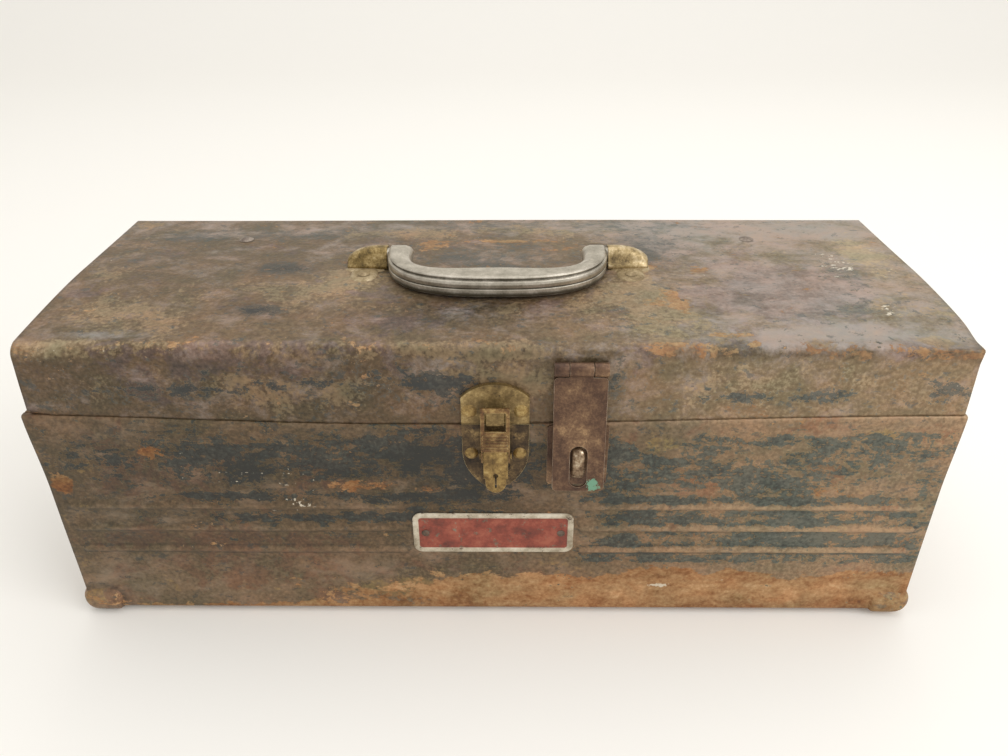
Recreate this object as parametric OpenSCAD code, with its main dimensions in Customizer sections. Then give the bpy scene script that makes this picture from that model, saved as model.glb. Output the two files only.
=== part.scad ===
// Flat-topped steel toolbox: sheet body, piano-hinged lid, draw latch, hasp, folding handle, lift-out tray.
// Lengths are millimetres, angles degrees. X runs along the box, Y from front to back, Z up from the floor.
// "u" is the distance in front of the base's front wall. The lid is closed and every part sits at rest.

/* [Body] */
// Width of the base over its end walls
body_w = 484; // [440:1:560]
// Depth of the base over its front and back walls
body_d = 173; // [166:1:230]
// Height of the base from its bottom sheet to the seam
base_h = 138.5; // [130:0.5:164]
// Height of the lid from the seam to its flat top
lid_h = 44.5; // [42:0.5:60]
// Thickness of the body sheet
sheet = 1; // [0.8:0.1:1.3]
// Outside radius of the two bends along the bottom
base_bend_r = 4; // [2.5:0.5:7]
// Outside radius of the bend along the lid's front edge
lid_bend_r = 9; // [6:0.5:12]
// Outside radius of the bend along the lid's back edge
lid_back_r = 3.5; // [2.5:0.5:8]
// How far each end of the lid sits inside the base's end wall
lid_end_inset = 1.6; // [1:0.1:3]
// How far the lid's front sits behind the base's front
lid_front_inset = 0.8; // [0.4:0.1:1.2]
// Height of the dust lip that stands up inside the lid
lip_h = 5; // [3:0.5:8]
// Width of the welding flanges on the end panels
flange_w = 9; // [6:0.5:14]

/* [Ribs and feet] */
// Height of the middle rib above the bottom sheet
rib_mid = 63.5; // [52:0.5:66]
// Distance from rib to rib
rib_pitch = 15.5; // [10:0.5:17]
// Width of one rib
rib_w = 5; // [4:0.25:7]
// How far a rib stands out
rib_out = 1.2; // [0.8:0.1:1.8]
// Height of the feet under the bottom sheet
foot_h = 2.5; // [2:0.5:6]
// Length of a corner foot along each wall
foot_l = 21; // [16:0.5:30]
// How far a corner foot stands out from the walls
foot_out = 1.6; // [1.2:0.1:3]
// Height of a corner foot above the bottom sheet
foot_up = 23.5; // [14:0.5:30]

/* [Lid hinge] */
// Number of knuckles along the hinge
knuckles = 19; // [11:2:25]
// Outside radius of the hinge barrel
barrel_r = 3; // [2.6:0.1:4]
// Radius of the hinge pin
hinge_pin_r = 1.2; // [0.9:0.1:1.5]
// Height of each hinge leaf
hinge_leaf_h = 14; // [10:0.5:20]

/* [Draw latch] */
// Place of the latch along the box
latch_x = 2; // [-4:0.5:4]
// Width of the strike plate and of the shield plate
latch_w = 35; // [33:0.5:40]
// Width of the lever
lever_w = 12.8; // [11:0.2:15]
// Length of the lever below its pivot
lever_l = 28; // [26:0.5:32]
// Radius of the two latch pins
latch_pin_r = 1.1; // [0.8:0.1:1.3]
// Distance between the two latch pins
latch_throw = 7; // [6:0.25:8]
// Width of the strike's hook
hook_w = 9; // [6:0.5:10]

/* [Hasp] */
// Place of the hasp along the box
hasp_x = 45; // [42:0.5:60]
// Width of the hasp
hasp_w = 27; // [25:0.2:30]
// Length of the strap below the hasp's pin
strap_l = 69.5; // [68:0.5:74]
// Thickness of the strap
strap_t = 1.5; // [1:0.1:2]
// Angle at which the strap hangs away from the wall
strap_hang = 7; // [6:0.5:12]
// Width of the slot in the strap
slot_w = 9; // [8:0.25:12]
// Radius of the hasp's pin
hasp_pin_r = 1.6; // [1.2:0.1:2]
// Width of the bar of the staple
staple_bar = 6.2; // [4:0.2:6.4]

/* [Handle] */
// Width of the handle over its arms
handle_w = 126; // [110:1:150]
// Reach of the handle from its pivots to the outside of the grip
handle_reach = 47; // [44:0.5:60]
// Thickness of the handle
handle_t = 11.5; // [10.5:0.25:13]
// Width of each arm
arm_w = 14; // [12:0.5:17]
// Width of the grip
grip_w = 17; // [14:0.5:20]
// Place of the handle along the box
handle_x = 2; // [-6:0.5:6]
// Distance of the pivots behind the lid's front
handle_y = 93; // [88:1:112]
// Radius of the handle's pivot studs
stud_r = 4.2; // [3.4:0.1:4.4]
// Length of each bracket along the box
bracket_l = 22; // [20:0.5:32]

/* [Name plate] */
// Height of the middle of the name plate above the bottom sheet
plate_up = 60.5; // [54:0.5:64]
// Width of the blank name plate
plate_w = 90; // [70:1:92]
// Height of the blank name plate
plate_h = 28; // [22:1:32]

/* [Tray] */
// Depth of the lift-out tray
tray_h = 50; // [36:1:56]
// Thickness of the tray's sheet
tray_t = 0.8; // [0.6:0.1:1.2]
// Gap between the tray and the dust lip
tray_gap = 2.5; // [2:0.25:6]
// Width of the tray's carrying strap
tray_strap_w = 18; // [14:0.5:26]
// Height of the carrying strap over the tray's rim
tray_strap_up = 20; // [14:0.5:22]

/* [Hidden] */
$fn = 48;
gap = 0.4;
weld = 0.1;
run = 0.06;
slip = 0.05;
lip_gap = 0.5;
rivet_r = 1.5;
hinge_leaf_t = sheet;
hinge_off = barrel_r + gap;
plate_t = 1.2;

strap_u = plate_t + 0.3;
hasp_r = 3.6;
hasp_u = hasp_r + gap - lid_front_inset;
strap_back = hasp_u - strap_u;
front_reach = hasp_u + strap_l * sin(strap_hang) + (strap_t - strap_back) * cos(strap_hang);
back_reach = hinge_off + barrel_r;

y_front = front_reach - (body_d + front_reach + back_reach) / 2;
y_back = y_front + body_d;
y_mid = (y_front + y_back) / 2;
x_end = body_w / 2;
z_bottom = foot_h;
z_seam = z_bottom + base_h;
z_lid = z_seam + gap;
z_top = z_seam + lid_h;
y_lid = y_front + lid_front_inset;
x_lid = x_end - lid_end_inset;

lip_front = lid_front_inset + sheet + lip_gap;
lip_back = sheet + lip_gap;
lip_end = lid_end_inset + sheet + lip_gap;
x_lip = x_end - lip_end;
y_lip0 = y_front + lip_front;
y_lip1 = y_back - lip_back;
z_rib = z_bottom + rib_mid;
z_name = z_bottom + plate_up;

strike_u = 2.2;
strike_z0 = z_seam - 3.2;
strike_z1 = z_seam + 20;
strike_rise = 7.8;
strike_arc = (latch_w * latch_w / 4 + strike_rise * strike_rise) / (2 * strike_rise);
strike_rivet_x = latch_w / 2 - 4.2;
strike_rivet_z = z_seam + 4.4;
hook_u = 6.4;
hook_t = 1.5;
hook_z = z_seam - 2.6;
hook_h = 9;
shield_z1 = strike_z0 - 1;
shield_z0 = z_seam - 43.5;
shield_side = z_seam - 21;
shield_r = 28;
shield_rivet_x = latch_w / 2 - 4.8;
shield_rivet_z = z_seam - 22.5;
pin1_u = 3.7;
pin1_z = z_seam - 15.5;
pin2_u = 3.5;
pin2_z = pin1_z - latch_throw;
lever_u = 5.4;
lever_t = 1.1;
lever_top = pin1_z - 2.1;
lever_end = pin1_z - lever_l;
lever_side = 1;
key_up = 10;
link_u = hook_u + gap;
link_t = 1.2;
link_side = 0.8;
link_w = lever_w + 2 * (0.3 + link_side);
link_z0 = lever_top + 0.5;
link_z1 = hook_z + hook_h + 3;
link_boss = pin2_u - plate_t - gap;
ear_x = lever_w / 2 - lever_side - 0.3;
ear_t = 1;
pin2_head = 0.6;

hasp_z = z_top - 15;
hasp_side = (hasp_w - 12.6) / 2;
leaf_t = 1.5;
leaf_z0 = z_lid + 2.6;
leaf_rivet_x = hasp_w / 2 - 5;
leaf_rivet_z = leaf_z0 + 6;
slot_end = 2.4;
slot_l = 24;
staple_z = hasp_z - cos(strap_hang) * (strap_l - slot_end - slot_l / 2);
staple_half = slot_l / 2 - 1.5;
staple_tip = 10;
staple_r = 7;
staple_t = 2.6;
staple_w = hasp_w + 5;
staple_over = 17.5;
staple_z0 = staple_z - staple_over;
staple_z1 = min(staple_z + staple_over + 2.5, z_seam - 4);
staple_rivet_z = staple_z + staple_half + 4.5;

axis_z = z_top + gap + handle_t / 2;
y_axis = y_lid + handle_y;
sleeve_r = stud_r + run;
sleeve_out = sleeve_r + 1.3;
bracket_t = 1.2;
bracket_x0 = handle_w / 2 + 2;
ear_w = 14;
ear_out = 10.3;
ear_y = sleeve_out + ear_out;
ear_mid = bracket_x0 + bracket_l / 2;
mark_x = 157;
mark_y = y_back - 38;

name_x = plate_w / 2 - 7;
name_r = 5;
rib_stop = plate_w / 2 + 3;

tray_x = x_lip - sheet - tray_gap;
tray_y0 = y_lip0 + sheet + tray_gap;
tray_y1 = y_lip1 - sheet - tray_gap;
tray_z1 = z_seam - 3;
tray_z0 = tray_z1 - tray_h;
rest_t = 1.5;
rest_l = 120;
rest_leg = 14;
rest_z = tray_z0 - 0.3;
rest_rivet_y = 45;
tray_strap_t = 1.6;
tray_strap_z = tray_z1 + tray_strap_up;
tray_rivet_x = tray_strap_w / 2 - 4;
tray_rivet_z = tray_z1 - 16;

function spow(c, e) = sign(c) * pow(abs(c), e);
function oval(a, b, n, t) = [a * spow(cos(t), 2 / n), -b * pow(sin(t), 2 / n)];

grip_n = 48;
grip_cap = 5;
// Section of the handle: first number counts from the inner edge (0) or the outer edge (1).
grip_sec = [
    [0, 4.5, 0], [0, 1.4, 0.11], [0, 0.3, 0.3], [0, 0, 0.5], [0, 0.3, 0.7], [0, 1.4, 0.89], [0, 4.5, 1],
    [1, 1.8, 1], [1, 0.8, 0.93], [1, 1.5, 0.885], [1, 1.5, 0.845], [1, 0.3, 0.79], [1, 0, 0.66],
    [1, 0.2, 0.49], [1, 1, 0.44], [1, 1, 0.4], [1, 0.2, 0.35], [1, 0.2, 0.12], [1, 1.2, 0]
];

// A flat outline in Y and Z, drawn out along X from x0 to x1
module along_x(x0, x1) {
    translate([x0, 0, 0])
        rotate([90, 0, 90])
            linear_extrude(x1 - x0) children();
}

// A flat outline in X and Z, drawn out forwards from u0 to u1 in front of the base
module on_front(u0, u1) {
    translate([0, y_front - u0, 0])
        rotate([90, 0, 0])
            linear_extrude(u1 - u0) children();
}

// A round rod along X
module rod_x(x0, x1, y, z, r) {
    translate([x0, y, z])
        rotate([0, 90, 0])
            cylinder(r = r, h = x1 - x0);
}

// A round rod through the front wall, from u0 to u1
module rod_front(x, z, u0, u1, r) {
    translate([x, y_front - u0, z])
        rotate([90, 0, 0])
            cylinder(r = r, h = u1 - u0);
}

// Trough outline: the two lower corners are rounded
module trough(y0, y1, z0, z1, r) {
    translate([y0, z0 + r]) square([y1 - y0, z1 - z0 - r]);
    translate([y0 + r, z0]) square([y1 - y0 - 2 * r, r]);
    translate([y0 + r, z0 + r]) circle(r);
    translate([y1 - r, z0 + r]) circle(r);
}

// Arch outline: the two upper corners are rounded, ra in front and rb behind
module arch(y0, y1, z0, z1, ra, rb) {
    translate([y0, z0]) square([y1 - y0, z1 - z0 - max(ra, rb)]);
    translate([y0 + ra, z0]) square([y1 - y0 - ra - rb, z1 - z0]);
    translate([y1 - rb, z0]) square([rb, z1 - z0 - rb]);
    translate([y0, z0]) square([ra, z1 - z0 - ra]);
    translate([y0 + ra, z1 - ra]) circle(ra);
    translate([y1 - rb, z1 - rb]) circle(rb);
}

// A rectangle with rounded corners, about its middle
module pill(w, h, r) {
    square([w - 2 * r, h], center = true);
    square([w, h - 2 * r], center = true);
    for (sx = [-1, 1])
        for (sz = [-1, 1])
            translate([sx * (w / 2 - r), sz * (h / 2 - r)]) circle(r);
}

// Rivet along Z: domed head above z = 0, shank through the grip, flat upset tail below it
module rivet(head_r, head_h, shank_r, grip, tail_r, tail_h) {
    ball = (head_r * head_r + head_h * head_h) / (2 * head_h);
    rotate_extrude() {
        intersection() {
            translate([0, head_h - ball]) circle(ball, $fn = 64);
            square([head_r, head_h]);
        }
        translate([0, -grip - 0.01]) square([shank_r, grip + 0.02]);
        translate([0, -grip - tail_h]) square([tail_r, tail_h]);
    }
}

// The same rivet, headed on the front of the box at u
module rivet_front(x, z, u, head_r, head_h, shank_r, grip, tail_r, tail_h) {
    translate([x, y_front - u, z])
        rotate([90, 0, 0]) rivet(head_r, head_h, shank_r, grip, tail_r, tail_h);
}

// Pressed rib: a round-ended bead that stands out of a wall, with a ball at each end
module rib_bead(x0, x1, y, z, r) {
    rod_x(x0, x1, y, z, r);
    for (x = [x0, x1])
        translate([x, y, z]) sphere(r);
}

rib_r = (rib_w * rib_w / 4 + rib_out * rib_out) / (2 * rib_out);
rib_runs = [[-x_end + 9, -rib_stop - 2], [rib_stop + 2, x_end - 9]];

// Front, bottom and back of the base, bent from one sheet
module base_wrap() {
    color([0.24, 0.25, 0.26])
    difference() {
        union() {
            along_x(-x_end, x_end)
                difference() {
                    trough(y_front, y_back, z_bottom, z_seam, base_bend_r);
                    trough(y_front + sheet, y_back - sheet, z_bottom + sheet, z_seam + 1, base_bend_r - sheet);
                }
            along_x(-x_end, x_end) {
                translate([y_front, z_seam - sheet]) square([lip_front + sheet, sheet]);
                translate([y_lip1 - sheet, z_seam - sheet]) square([lip_back + sheet, sheet]);
            }
            along_x(-x_lip, x_lip) {
                translate([y_lip0, z_seam - sheet]) square([sheet, sheet + lip_h]);
                translate([y_lip1 - sheet, z_seam - sheet]) square([sheet, sheet + lip_h]);
            }
            for (k = [-1, 0, 1]) {
                for (s = rib_runs)
                    intersection() {
                        rib_bead(s[0], s[1], y_front + rib_r - rib_out, z_rib + k * rib_pitch, rib_r);
                        translate([-x_end, y_front - 5, z_rib - 40]) cube([body_w, 5.2, 80]);
                    }
                intersection() {
                    rib_bead(-x_end + 9, x_end - 9, y_back - rib_r + rib_out, z_rib + k * rib_pitch, rib_r);
                    translate([-x_end, y_back - 0.2, z_rib - 40]) cube([body_w, 5.2, 80]);
                }
            }
        }
        for (k = [-1, 0, 1]) {
            for (s = rib_runs)
                rib_bead(s[0], s[1], y_front + rib_r - rib_out, z_rib + k * rib_pitch, rib_r - sheet);
            rib_bead(-x_end + 9, x_end - 9, y_back - rib_r + rib_out, z_rib + k * rib_pitch, rib_r - sheet);
        }
        translate([latch_x - latch_w / 2 - 6, y_lip0 - 1, z_seam]) cube([latch_w + 12, sheet + 2, lip_h + 1]);
        for (sx = [-1, 1]) {
            rod_front(latch_x + sx * shield_rivet_x, shield_rivet_z, -sheet - 1, 1, rivet_r + slip);
            rod_front(sx * name_x, z_name, -sheet - 1, 1, 1 + slip);
            rod_front(hasp_x + sx * leaf_rivet_x, staple_rivet_z, -sheet - 1, 1, rivet_r + slip);
        }
    }
}

// One end panel of the base, flanged on three sides, with the ledge and the dust lip
module base_end(s) {
    y0 = y_front + sheet + weld;
    y1 = y_back - sheet - weld;
    z0 = z_bottom + sheet + weld;
    z1 = z_seam - sheet - weld;
    r = max(base_bend_r - sheet - weld, 0.6);
    rm = max(r - sheet, 0.3);
    color([0.25, 0.26, 0.27])
    mirror([s < 0 ? 1 : 0, 0, 0])
    difference() {
        union() {
            along_x(x_end - sheet, x_end) trough(y0, y1, z0, z1, r);
            along_x(x_end - flange_w, x_end - sheet / 2)
                difference() {
                    trough(y0, y1, z0, z1, r);
                    trough(y0 + sheet, y1 - sheet, z0 + sheet, z1 + 1, rm);
                }
            translate([x_end - sheet, y_lip0 + sheet + weld, z1 - 1])
                cube([sheet, y_lip1 - y_lip0 - 2 * sheet - 2 * weld, z_seam - z1 + 1]);
            translate([x_lip - sheet, y_lip0 + sheet + weld, z_seam - sheet])
                cube([lip_end + sheet, y_lip1 - y_lip0 - 2 * sheet - 2 * weld, sheet]);
            translate([x_lip - sheet, y_lip0 + sheet + weld, z_seam - sheet])
                cube([sheet, y_lip1 - y_lip0 - 2 * sheet - 2 * weld, sheet + lip_h]);
        }
        for (sy = [-1, 1])
            rod_x(x_end - 3, x_end + 1, y_mid + sy * rest_rivet_y, rest_z - rest_leg / 2, rivet_r + slip);
    }
}

module base_end_left() { base_end(-1); }
module base_end_right() { base_end(1); }

// One corner post of a foot's outline, set in by d from the corner a, b of a square of side l
module foot_pin(a, b, l, d, z, h, r) {
    translate([d + a * (l - 2 * d), d + b * (l - 2 * d), z]) cylinder(r = r, h = h);
}

// Pressed corner foot: a cap round the bottom corner with a flat land on the floor
module foot(sx, sy) {
    l = foot_l + foot_out;
    z1 = z_bottom + foot_up;
    color([0.3, 0.28, 0.26])
    difference() {
        translate([0, y_mid, 0])
            mirror([sx < 0 ? 1 : 0, 0, 0])
                mirror([0, sy < 0 ? 1 : 0, 0])
                    translate([x_end + foot_out - l, body_d / 2 + foot_out - l, 0])
                        hull() {
                            for (a = [0, 1])
                                for (b = [0, 1]) {
                                    foot_pin(a, b, l, 5, 0, 1, 2);
                                    foot_pin(a, b, l, 4, 1.2, 1, 3);
                                    foot_pin(a, b, l, 3.4, 4, z1 - 6, 3.4);
                                    foot_pin(a, b, l, 3.4, z1 - 1, 1, 2.4);
                                }
                        }
        along_x(-x_end - weld, x_end + weld)
            trough(y_front - weld, y_back + weld, z_bottom - weld, z_seam, base_bend_r);
    }
}

module foot_front_left() { foot(-1, -1); }
module foot_front_right() { foot(1, -1); }
module foot_back_left() { foot(-1, 1); }
module foot_back_right() { foot(1, 1); }

pitch = 2 * (x_lid - 4) / knuckles;

// The knuckles of one leaf: every second one along the barrel
module barrel(first) {
    for (k = [first : 2 : knuckles - 1]) {
        x = -x_lid + 4 + k * pitch;
        rod_x(x + gap / 2, x + pitch - gap / 2, y_back + hinge_off, z_seam, barrel_r);
    }
}

// Hinge leaf on the back of the base
module hinge_leaf_base() {
    color([0.4, 0.38, 0.36])
    difference() {
        union() {
            translate([-x_lid + 4, y_back, z_seam - hinge_leaf_h])
                cube([2 * (x_lid - 4), hinge_leaf_t, hinge_leaf_h - barrel_r - gap]);
            for (k = [0 : 2 : knuckles - 1])
                translate([-x_lid + 4 + k * pitch + gap / 2, y_back, z_seam - barrel_r - 2])
                    cube([pitch - gap, hinge_leaf_t, barrel_r + 2]);
            barrel(0);
        }
        rod_x(-x_end, x_end, y_back + hinge_off, z_seam, hinge_pin_r + slip);
    }
}

// Hinge leaf on the back of the lid
module hinge_leaf_lid() {
    color([0.42, 0.4, 0.38])
    difference() {
        union() {
            translate([-x_lid + 4, y_back, z_seam + barrel_r + gap])
                cube([2 * (x_lid - 4), hinge_leaf_t, hinge_leaf_h - barrel_r - gap]);
            for (k = [1 : 2 : knuckles - 1])
                translate([-x_lid + 4 + k * pitch + gap / 2, y_back, z_seam])
                    cube([pitch - gap, hinge_leaf_t, barrel_r + 2]);
            barrel(1);
        }
        rod_x(-x_end, x_end, y_back + hinge_off, z_seam, hinge_pin_r + run);
    }
}

module hinge_pin() {
    color([0.5, 0.49, 0.47])
    rod_x(-x_lid + 3.5, x_lid - 3.5, y_back + hinge_off, z_seam, hinge_pin_r);
}

// Blank name plate in the middle of the ribs, held by two rivets
module name_plate() {
    color([0.55, 0.22, 0.18])
    difference() {
        on_front(0, 0.8)
            translate([0, z_name]) pill(plate_w, plate_h, name_r);
        for (sx = [-1, 1])
            rod_front(sx * name_x, z_name, -1, 2, 1 + slip);
    }
}

module name_plate_rivets() {
    color([0.5, 0.45, 0.38])
    for (sx = [-1, 1])
        rivet_front(sx * name_x, z_name, 0.8, 2.2, 0.9, 1, 0.8 + sheet, 1.8, 0.8);
}

// Shield plate of the latch, with two ears that carry the lever's pin
module latch_shield() {
    color([0.5, 0.44, 0.32])
    difference() {
        union() {
            on_front(0, plate_t)
                translate([latch_x, 0])
                    intersection() {
                        translate([-latch_w / 2, shield_z0]) square([latch_w, shield_z1 - shield_z0]);
                        union() {
                            translate([-latch_w / 2, shield_side]) square([latch_w, 60]);
                            intersection() {
                                translate([shield_r - latch_w / 2, shield_side]) circle(shield_r, $fn = 96);
                                translate([latch_w / 2 - shield_r, shield_side]) circle(shield_r, $fn = 96);
                            }
                        }
                    }
            for (sx = [-1, 1])
                translate([latch_x + sx * (ear_x - ear_t / 2), 0, 0]) {
                    translate([-ear_t / 2, y_front - pin1_u, pin1_z - 2.4])
                        cube([ear_t, pin1_u - plate_t / 2, 4.8]);
                    rod_x(-ear_t / 2, ear_t / 2, y_front - pin1_u, pin1_z, 2.4);
                }
        }
        for (sx = [-1, 1])
            rod_front(latch_x + sx * shield_rivet_x, shield_rivet_z, -1, plate_t + 1, rivet_r + slip);
        rod_x(latch_x - lever_w, latch_x + lever_w, y_front - pin1_u, pin1_z, latch_pin_r + slip);
    }
}

module latch_shield_rivets() {
    color([0.52, 0.46, 0.34])
    for (sx = [-1, 1])
        rivet_front(latch_x + sx * shield_rivet_x, shield_rivet_z, plate_t, 3.6, 1.9, rivet_r,
            plate_t + sheet, 2.4, 1);
}

module latch_lever_pin() {
    color([0.5, 0.48, 0.44])
    rod_x(latch_x - lever_w / 2, latch_x + lever_w / 2, y_front - pin1_u, pin1_z, latch_pin_r);
}

// Lever: a channel with two side walls, a bent lip to pull and a keyhole
module latch_lever() {
    half = lever_w / 2;
    color([0.54, 0.47, 0.33])
    difference() {
        union() {
            on_front(lever_u, lever_u + lever_t)
                translate([latch_x, 0]) {
                    translate([-half, lever_end + 8]) square([lever_w, lever_top - lever_end - 10]);
                    translate([-half + 2, lever_top - 3]) square([lever_w - 4, 3]);
                    for (sx = [-1, 1])
                        translate([sx * (half - 2), lever_top - 2]) circle(2);
                }
            for (sx = [-1, 1])
                translate([latch_x + sx * (half - lever_side / 2), 0, 0]) {
                    translate([-lever_side / 2, y_front - lever_u - lever_t / 2, lever_end + 8])
                        cube([lever_side, lever_u + lever_t / 2 - 2, lever_top - 2 - lever_end - 8]);
                    translate([-lever_side / 2, y_front - lever_u + 0.3, lever_top - 3])
                        cube([lever_side, lever_u - 2.3, 5.1]);
                    rod_x(-lever_side / 2, lever_side / 2, y_front - pin1_u, pin1_z, 2.5);
                }
            translate([latch_x, y_front - lever_u, lever_end + 8.3])
                rotate([-14, 0, 0])
                    translate([0, 0, -8.3])
                        rotate([90, 0, 0])
                            linear_extrude(lever_t) {
                                translate([0, half * 0.86]) circle(half * 0.86);
                                translate([-half * 0.86, half * 0.86]) square([half * 1.72, 8.6 - half * 0.86]);
                            }
        }
        rod_x(latch_x - lever_w, latch_x + lever_w, y_front - pin1_u, pin1_z, latch_pin_r + run);
        rod_x(latch_x - lever_w, latch_x + lever_w, y_front - pin2_u, pin2_z, latch_pin_r + slip);
        rod_front(latch_x, lever_end + key_up, lever_u - 1, lever_u + 5, 1.4);
        translate([latch_x - 0.55, y_front - lever_u - 5, lever_end + 3]) cube([1.1, 6, key_up - 3]);
    }
}

module latch_link_pin() {
    reach = link_w / 2 + 0.3;
    color([0.5, 0.48, 0.44]) {
        rod_x(latch_x - reach, latch_x + reach, y_front - pin2_u, pin2_z, latch_pin_r);
        for (sx = [-1, 1])
            translate([latch_x + sx * (reach + pin2_head / 2), y_front - pin2_u, pin2_z])
                rotate([0, 90, 0])
                    cylinder(r = latch_pin_r + 0.7, h = pin2_head, center = true);
    }
}

// Link: a strap with pressed grip lines, a loop for the hook and two cheeks on the lower pin
module latch_link() {
    half = link_w / 2;
    window = link_w - 4;
    color([0.5, 0.44, 0.33])
    difference() {
        union() {
            on_front(link_u, link_u + link_t)
                translate([latch_x - half, link_z0]) square([link_w, link_z1 - link_z0]);
            for (k = [0 : 4])
                along_x(latch_x - half + 1, latch_x + half - 1)
                    translate([y_front - link_u - link_t + 0.2, link_z0 + 2 + k * 1.9]) circle(0.65, $fn = 24);
            for (sx = [-1, 1])
                translate([latch_x + sx * (half - link_side / 2), 0, 0]) {
                    translate([-link_side / 2, y_front - link_u - link_t / 2, pin2_z])
                        cube([link_side, link_u + link_t / 2 - pin2_u + link_boss, link_z0 + 3 - pin2_z]);
                    rod_x(-link_side / 2, link_side / 2, y_front - pin2_u, pin2_z, link_boss);
                    translate([-link_side / 2, y_front - link_u - link_t / 2, pin2_z - link_boss])
                        cube([link_side, link_u + link_t / 2 - pin2_u, link_boss + 0.2]);
                }
        }
        on_front(link_u - 1, link_u + 4)
            translate([latch_x - window / 2, hook_z - 2]) square([window, hook_h + 2.4]);
        rod_x(latch_x - link_w, latch_x + link_w, y_front - pin2_u, pin2_z, latch_pin_r + run);
    }
}

// Arched outline of the strike plate, drawn in by d
module strike_outline(d) {
    translate([latch_x, 0])
        intersection() {
            translate([-latch_w / 2 + d, strike_z0]) square([latch_w - 2 * d, strike_z1 - strike_z0]);
            translate([0, strike_z1 - strike_arc]) circle(strike_arc - d, $fn = 128);
        }
}

// Strike plate on the lid: a shallow pressed pan that hangs over the seam, with the hook for the link
module latch_strike() {
    color([0.52, 0.46, 0.34])
    difference() {
        union() {
            difference() {
                on_front(-lid_front_inset, strike_u) strike_outline(0);
                on_front(-lid_front_inset - 1, strike_u - 1) strike_outline(1.2);
                translate([latch_x - latch_w, y_front - strike_u + 1, strike_z0 - 1])
                    cube([2 * latch_w, 10, z_lid + 0.2 - strike_z0 + 1]);
            }
            along_x(latch_x - hook_w / 2, latch_x + hook_w / 2) {
                translate([y_front - hook_u + 1, hook_z]) square([hook_u - 1 - strike_u + 0.3, hook_t]);
                translate([y_front - hook_u, hook_z + 1]) square([hook_t, hook_h - 1]);
                translate([y_front - hook_u + 1.4, hook_z + 1.4]) circle(1.4);
            }
            for (sx = [-1, 1])
                rod_front(latch_x + sx * strike_rivet_x, strike_rivet_z, -lid_front_inset, strike_u - 0.5, 2.4);
        }
        for (sx = [-1, 1])
            rod_front(latch_x + sx * strike_rivet_x, strike_rivet_z, -4, strike_u + 1, rivet_r + slip);
        translate([latch_x - latch_w, y_front - strike_u + 1, strike_z0 - 1])
            cube([2 * latch_w, 10, z_lid + 0.2 - strike_z0 + 1]);
    }
}

module latch_strike_rivets() {
    color([0.52, 0.46, 0.34])
    for (sx = [-1, 1])
        rivet_front(latch_x + sx * strike_rivet_x, strike_rivet_z, strike_u, 3.9, 1.1, rivet_r,
            strike_u + lid_front_inset + sheet, 2, 0.8);
}

// Fixed leaf of the hasp, with the two outer knuckles
module hasp_leaf() {
    color([0.45, 0.3, 0.24])
    difference() {
        union() {
            on_front(-lid_front_inset, -lid_front_inset + leaf_t)
                translate([hasp_x - hasp_w / 2, leaf_z0]) square([hasp_w, hasp_z - leaf_z0]);
            for (sx = [-1, 1])
                translate([hasp_x + sx * (hasp_w - hasp_side) / 2, 0, 0])
                    rod_x(-hasp_side / 2, hasp_side / 2, y_front - hasp_u, hasp_z, hasp_r);
        }
        translate([hasp_x - hasp_w / 2 + hasp_side, y_front - 9, hasp_z - hasp_r - 0.6])
            cube([hasp_w - 2 * hasp_side, 12, 12]);
        rod_x(hasp_x - hasp_w, hasp_x + hasp_w, y_front - hasp_u, hasp_z, hasp_pin_r + slip);
        for (sx = [-1, 1])
            rod_front(hasp_x + sx * leaf_rivet_x, leaf_rivet_z, -5, 5, rivet_r + slip);
    }
}

module hasp_leaf_rivets() {
    color([0.42, 0.34, 0.3])
    for (sx = [-1, 1])
        translate([hasp_x + sx * leaf_rivet_x, y_front + lid_front_inset - leaf_t, leaf_rivet_z])
            rotate([90, 0, 0])
                rotate_extrude() {
                    translate([0, -leaf_t - sheet - 0.01]) square([rivet_r, leaf_t + sheet]);
                    translate([0, -leaf_t - sheet - 1]) square([2.6, 1]);
                }
}

module hasp_pin() {
    color([0.4, 0.34, 0.3])
    rod_x(hasp_x - hasp_w / 2, hasp_x + hasp_w / 2, y_front - hasp_u, hasp_z, hasp_pin_r);
}

// Hinged strap of the hasp, hanging a little way off the wall, with the slot for the staple
module hasp_strap() {
    mid = hasp_w - 2 * hasp_side - 2 * gap;
    color([0.5, 0.3, 0.22])
    translate([hasp_x, y_front - hasp_u, hasp_z])
        rotate([-strap_hang, 0, 0])
            difference() {
                union() {
                    rotate([0, 90, 0]) cylinder(r = hasp_r, h = mid, center = true);
                    translate([-mid / 2, strap_back - strap_t, -hasp_r - 2]) cube([mid, strap_t, hasp_r + 2]);
                    translate([0, strap_back, 0])
                        rotate([90, 0, 0])
                            linear_extrude(strap_t)
                                difference() {
                                    translate([0, -(strap_l + hasp_r + 0.8) / 2])
                                        pill(hasp_w, strap_l - hasp_r - 0.8, 2.5);
                                    translate([0, -(strap_l - slot_end - slot_l / 2)])
                                        pill(slot_w, slot_l, slot_w / 2 - 0.2);
                                }
                }
                rotate([0, 90, 0]) cylinder(r = hasp_pin_r + run, h = mid + 2, center = true);
            }
}

// Plate under the hasp's staple
module staple_plate() {
    color([0.45, 0.32, 0.26])
    difference() {
        on_front(0, plate_t)
            translate([hasp_x, (staple_z0 + staple_z1) / 2]) pill(staple_w, staple_z1 - staple_z0, 2);
        for (sx = [-1, 1])
            rod_front(hasp_x + sx * leaf_rivet_x, staple_rivet_z, -1, plate_t + 1, rivet_r + slip);
    }
}

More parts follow.
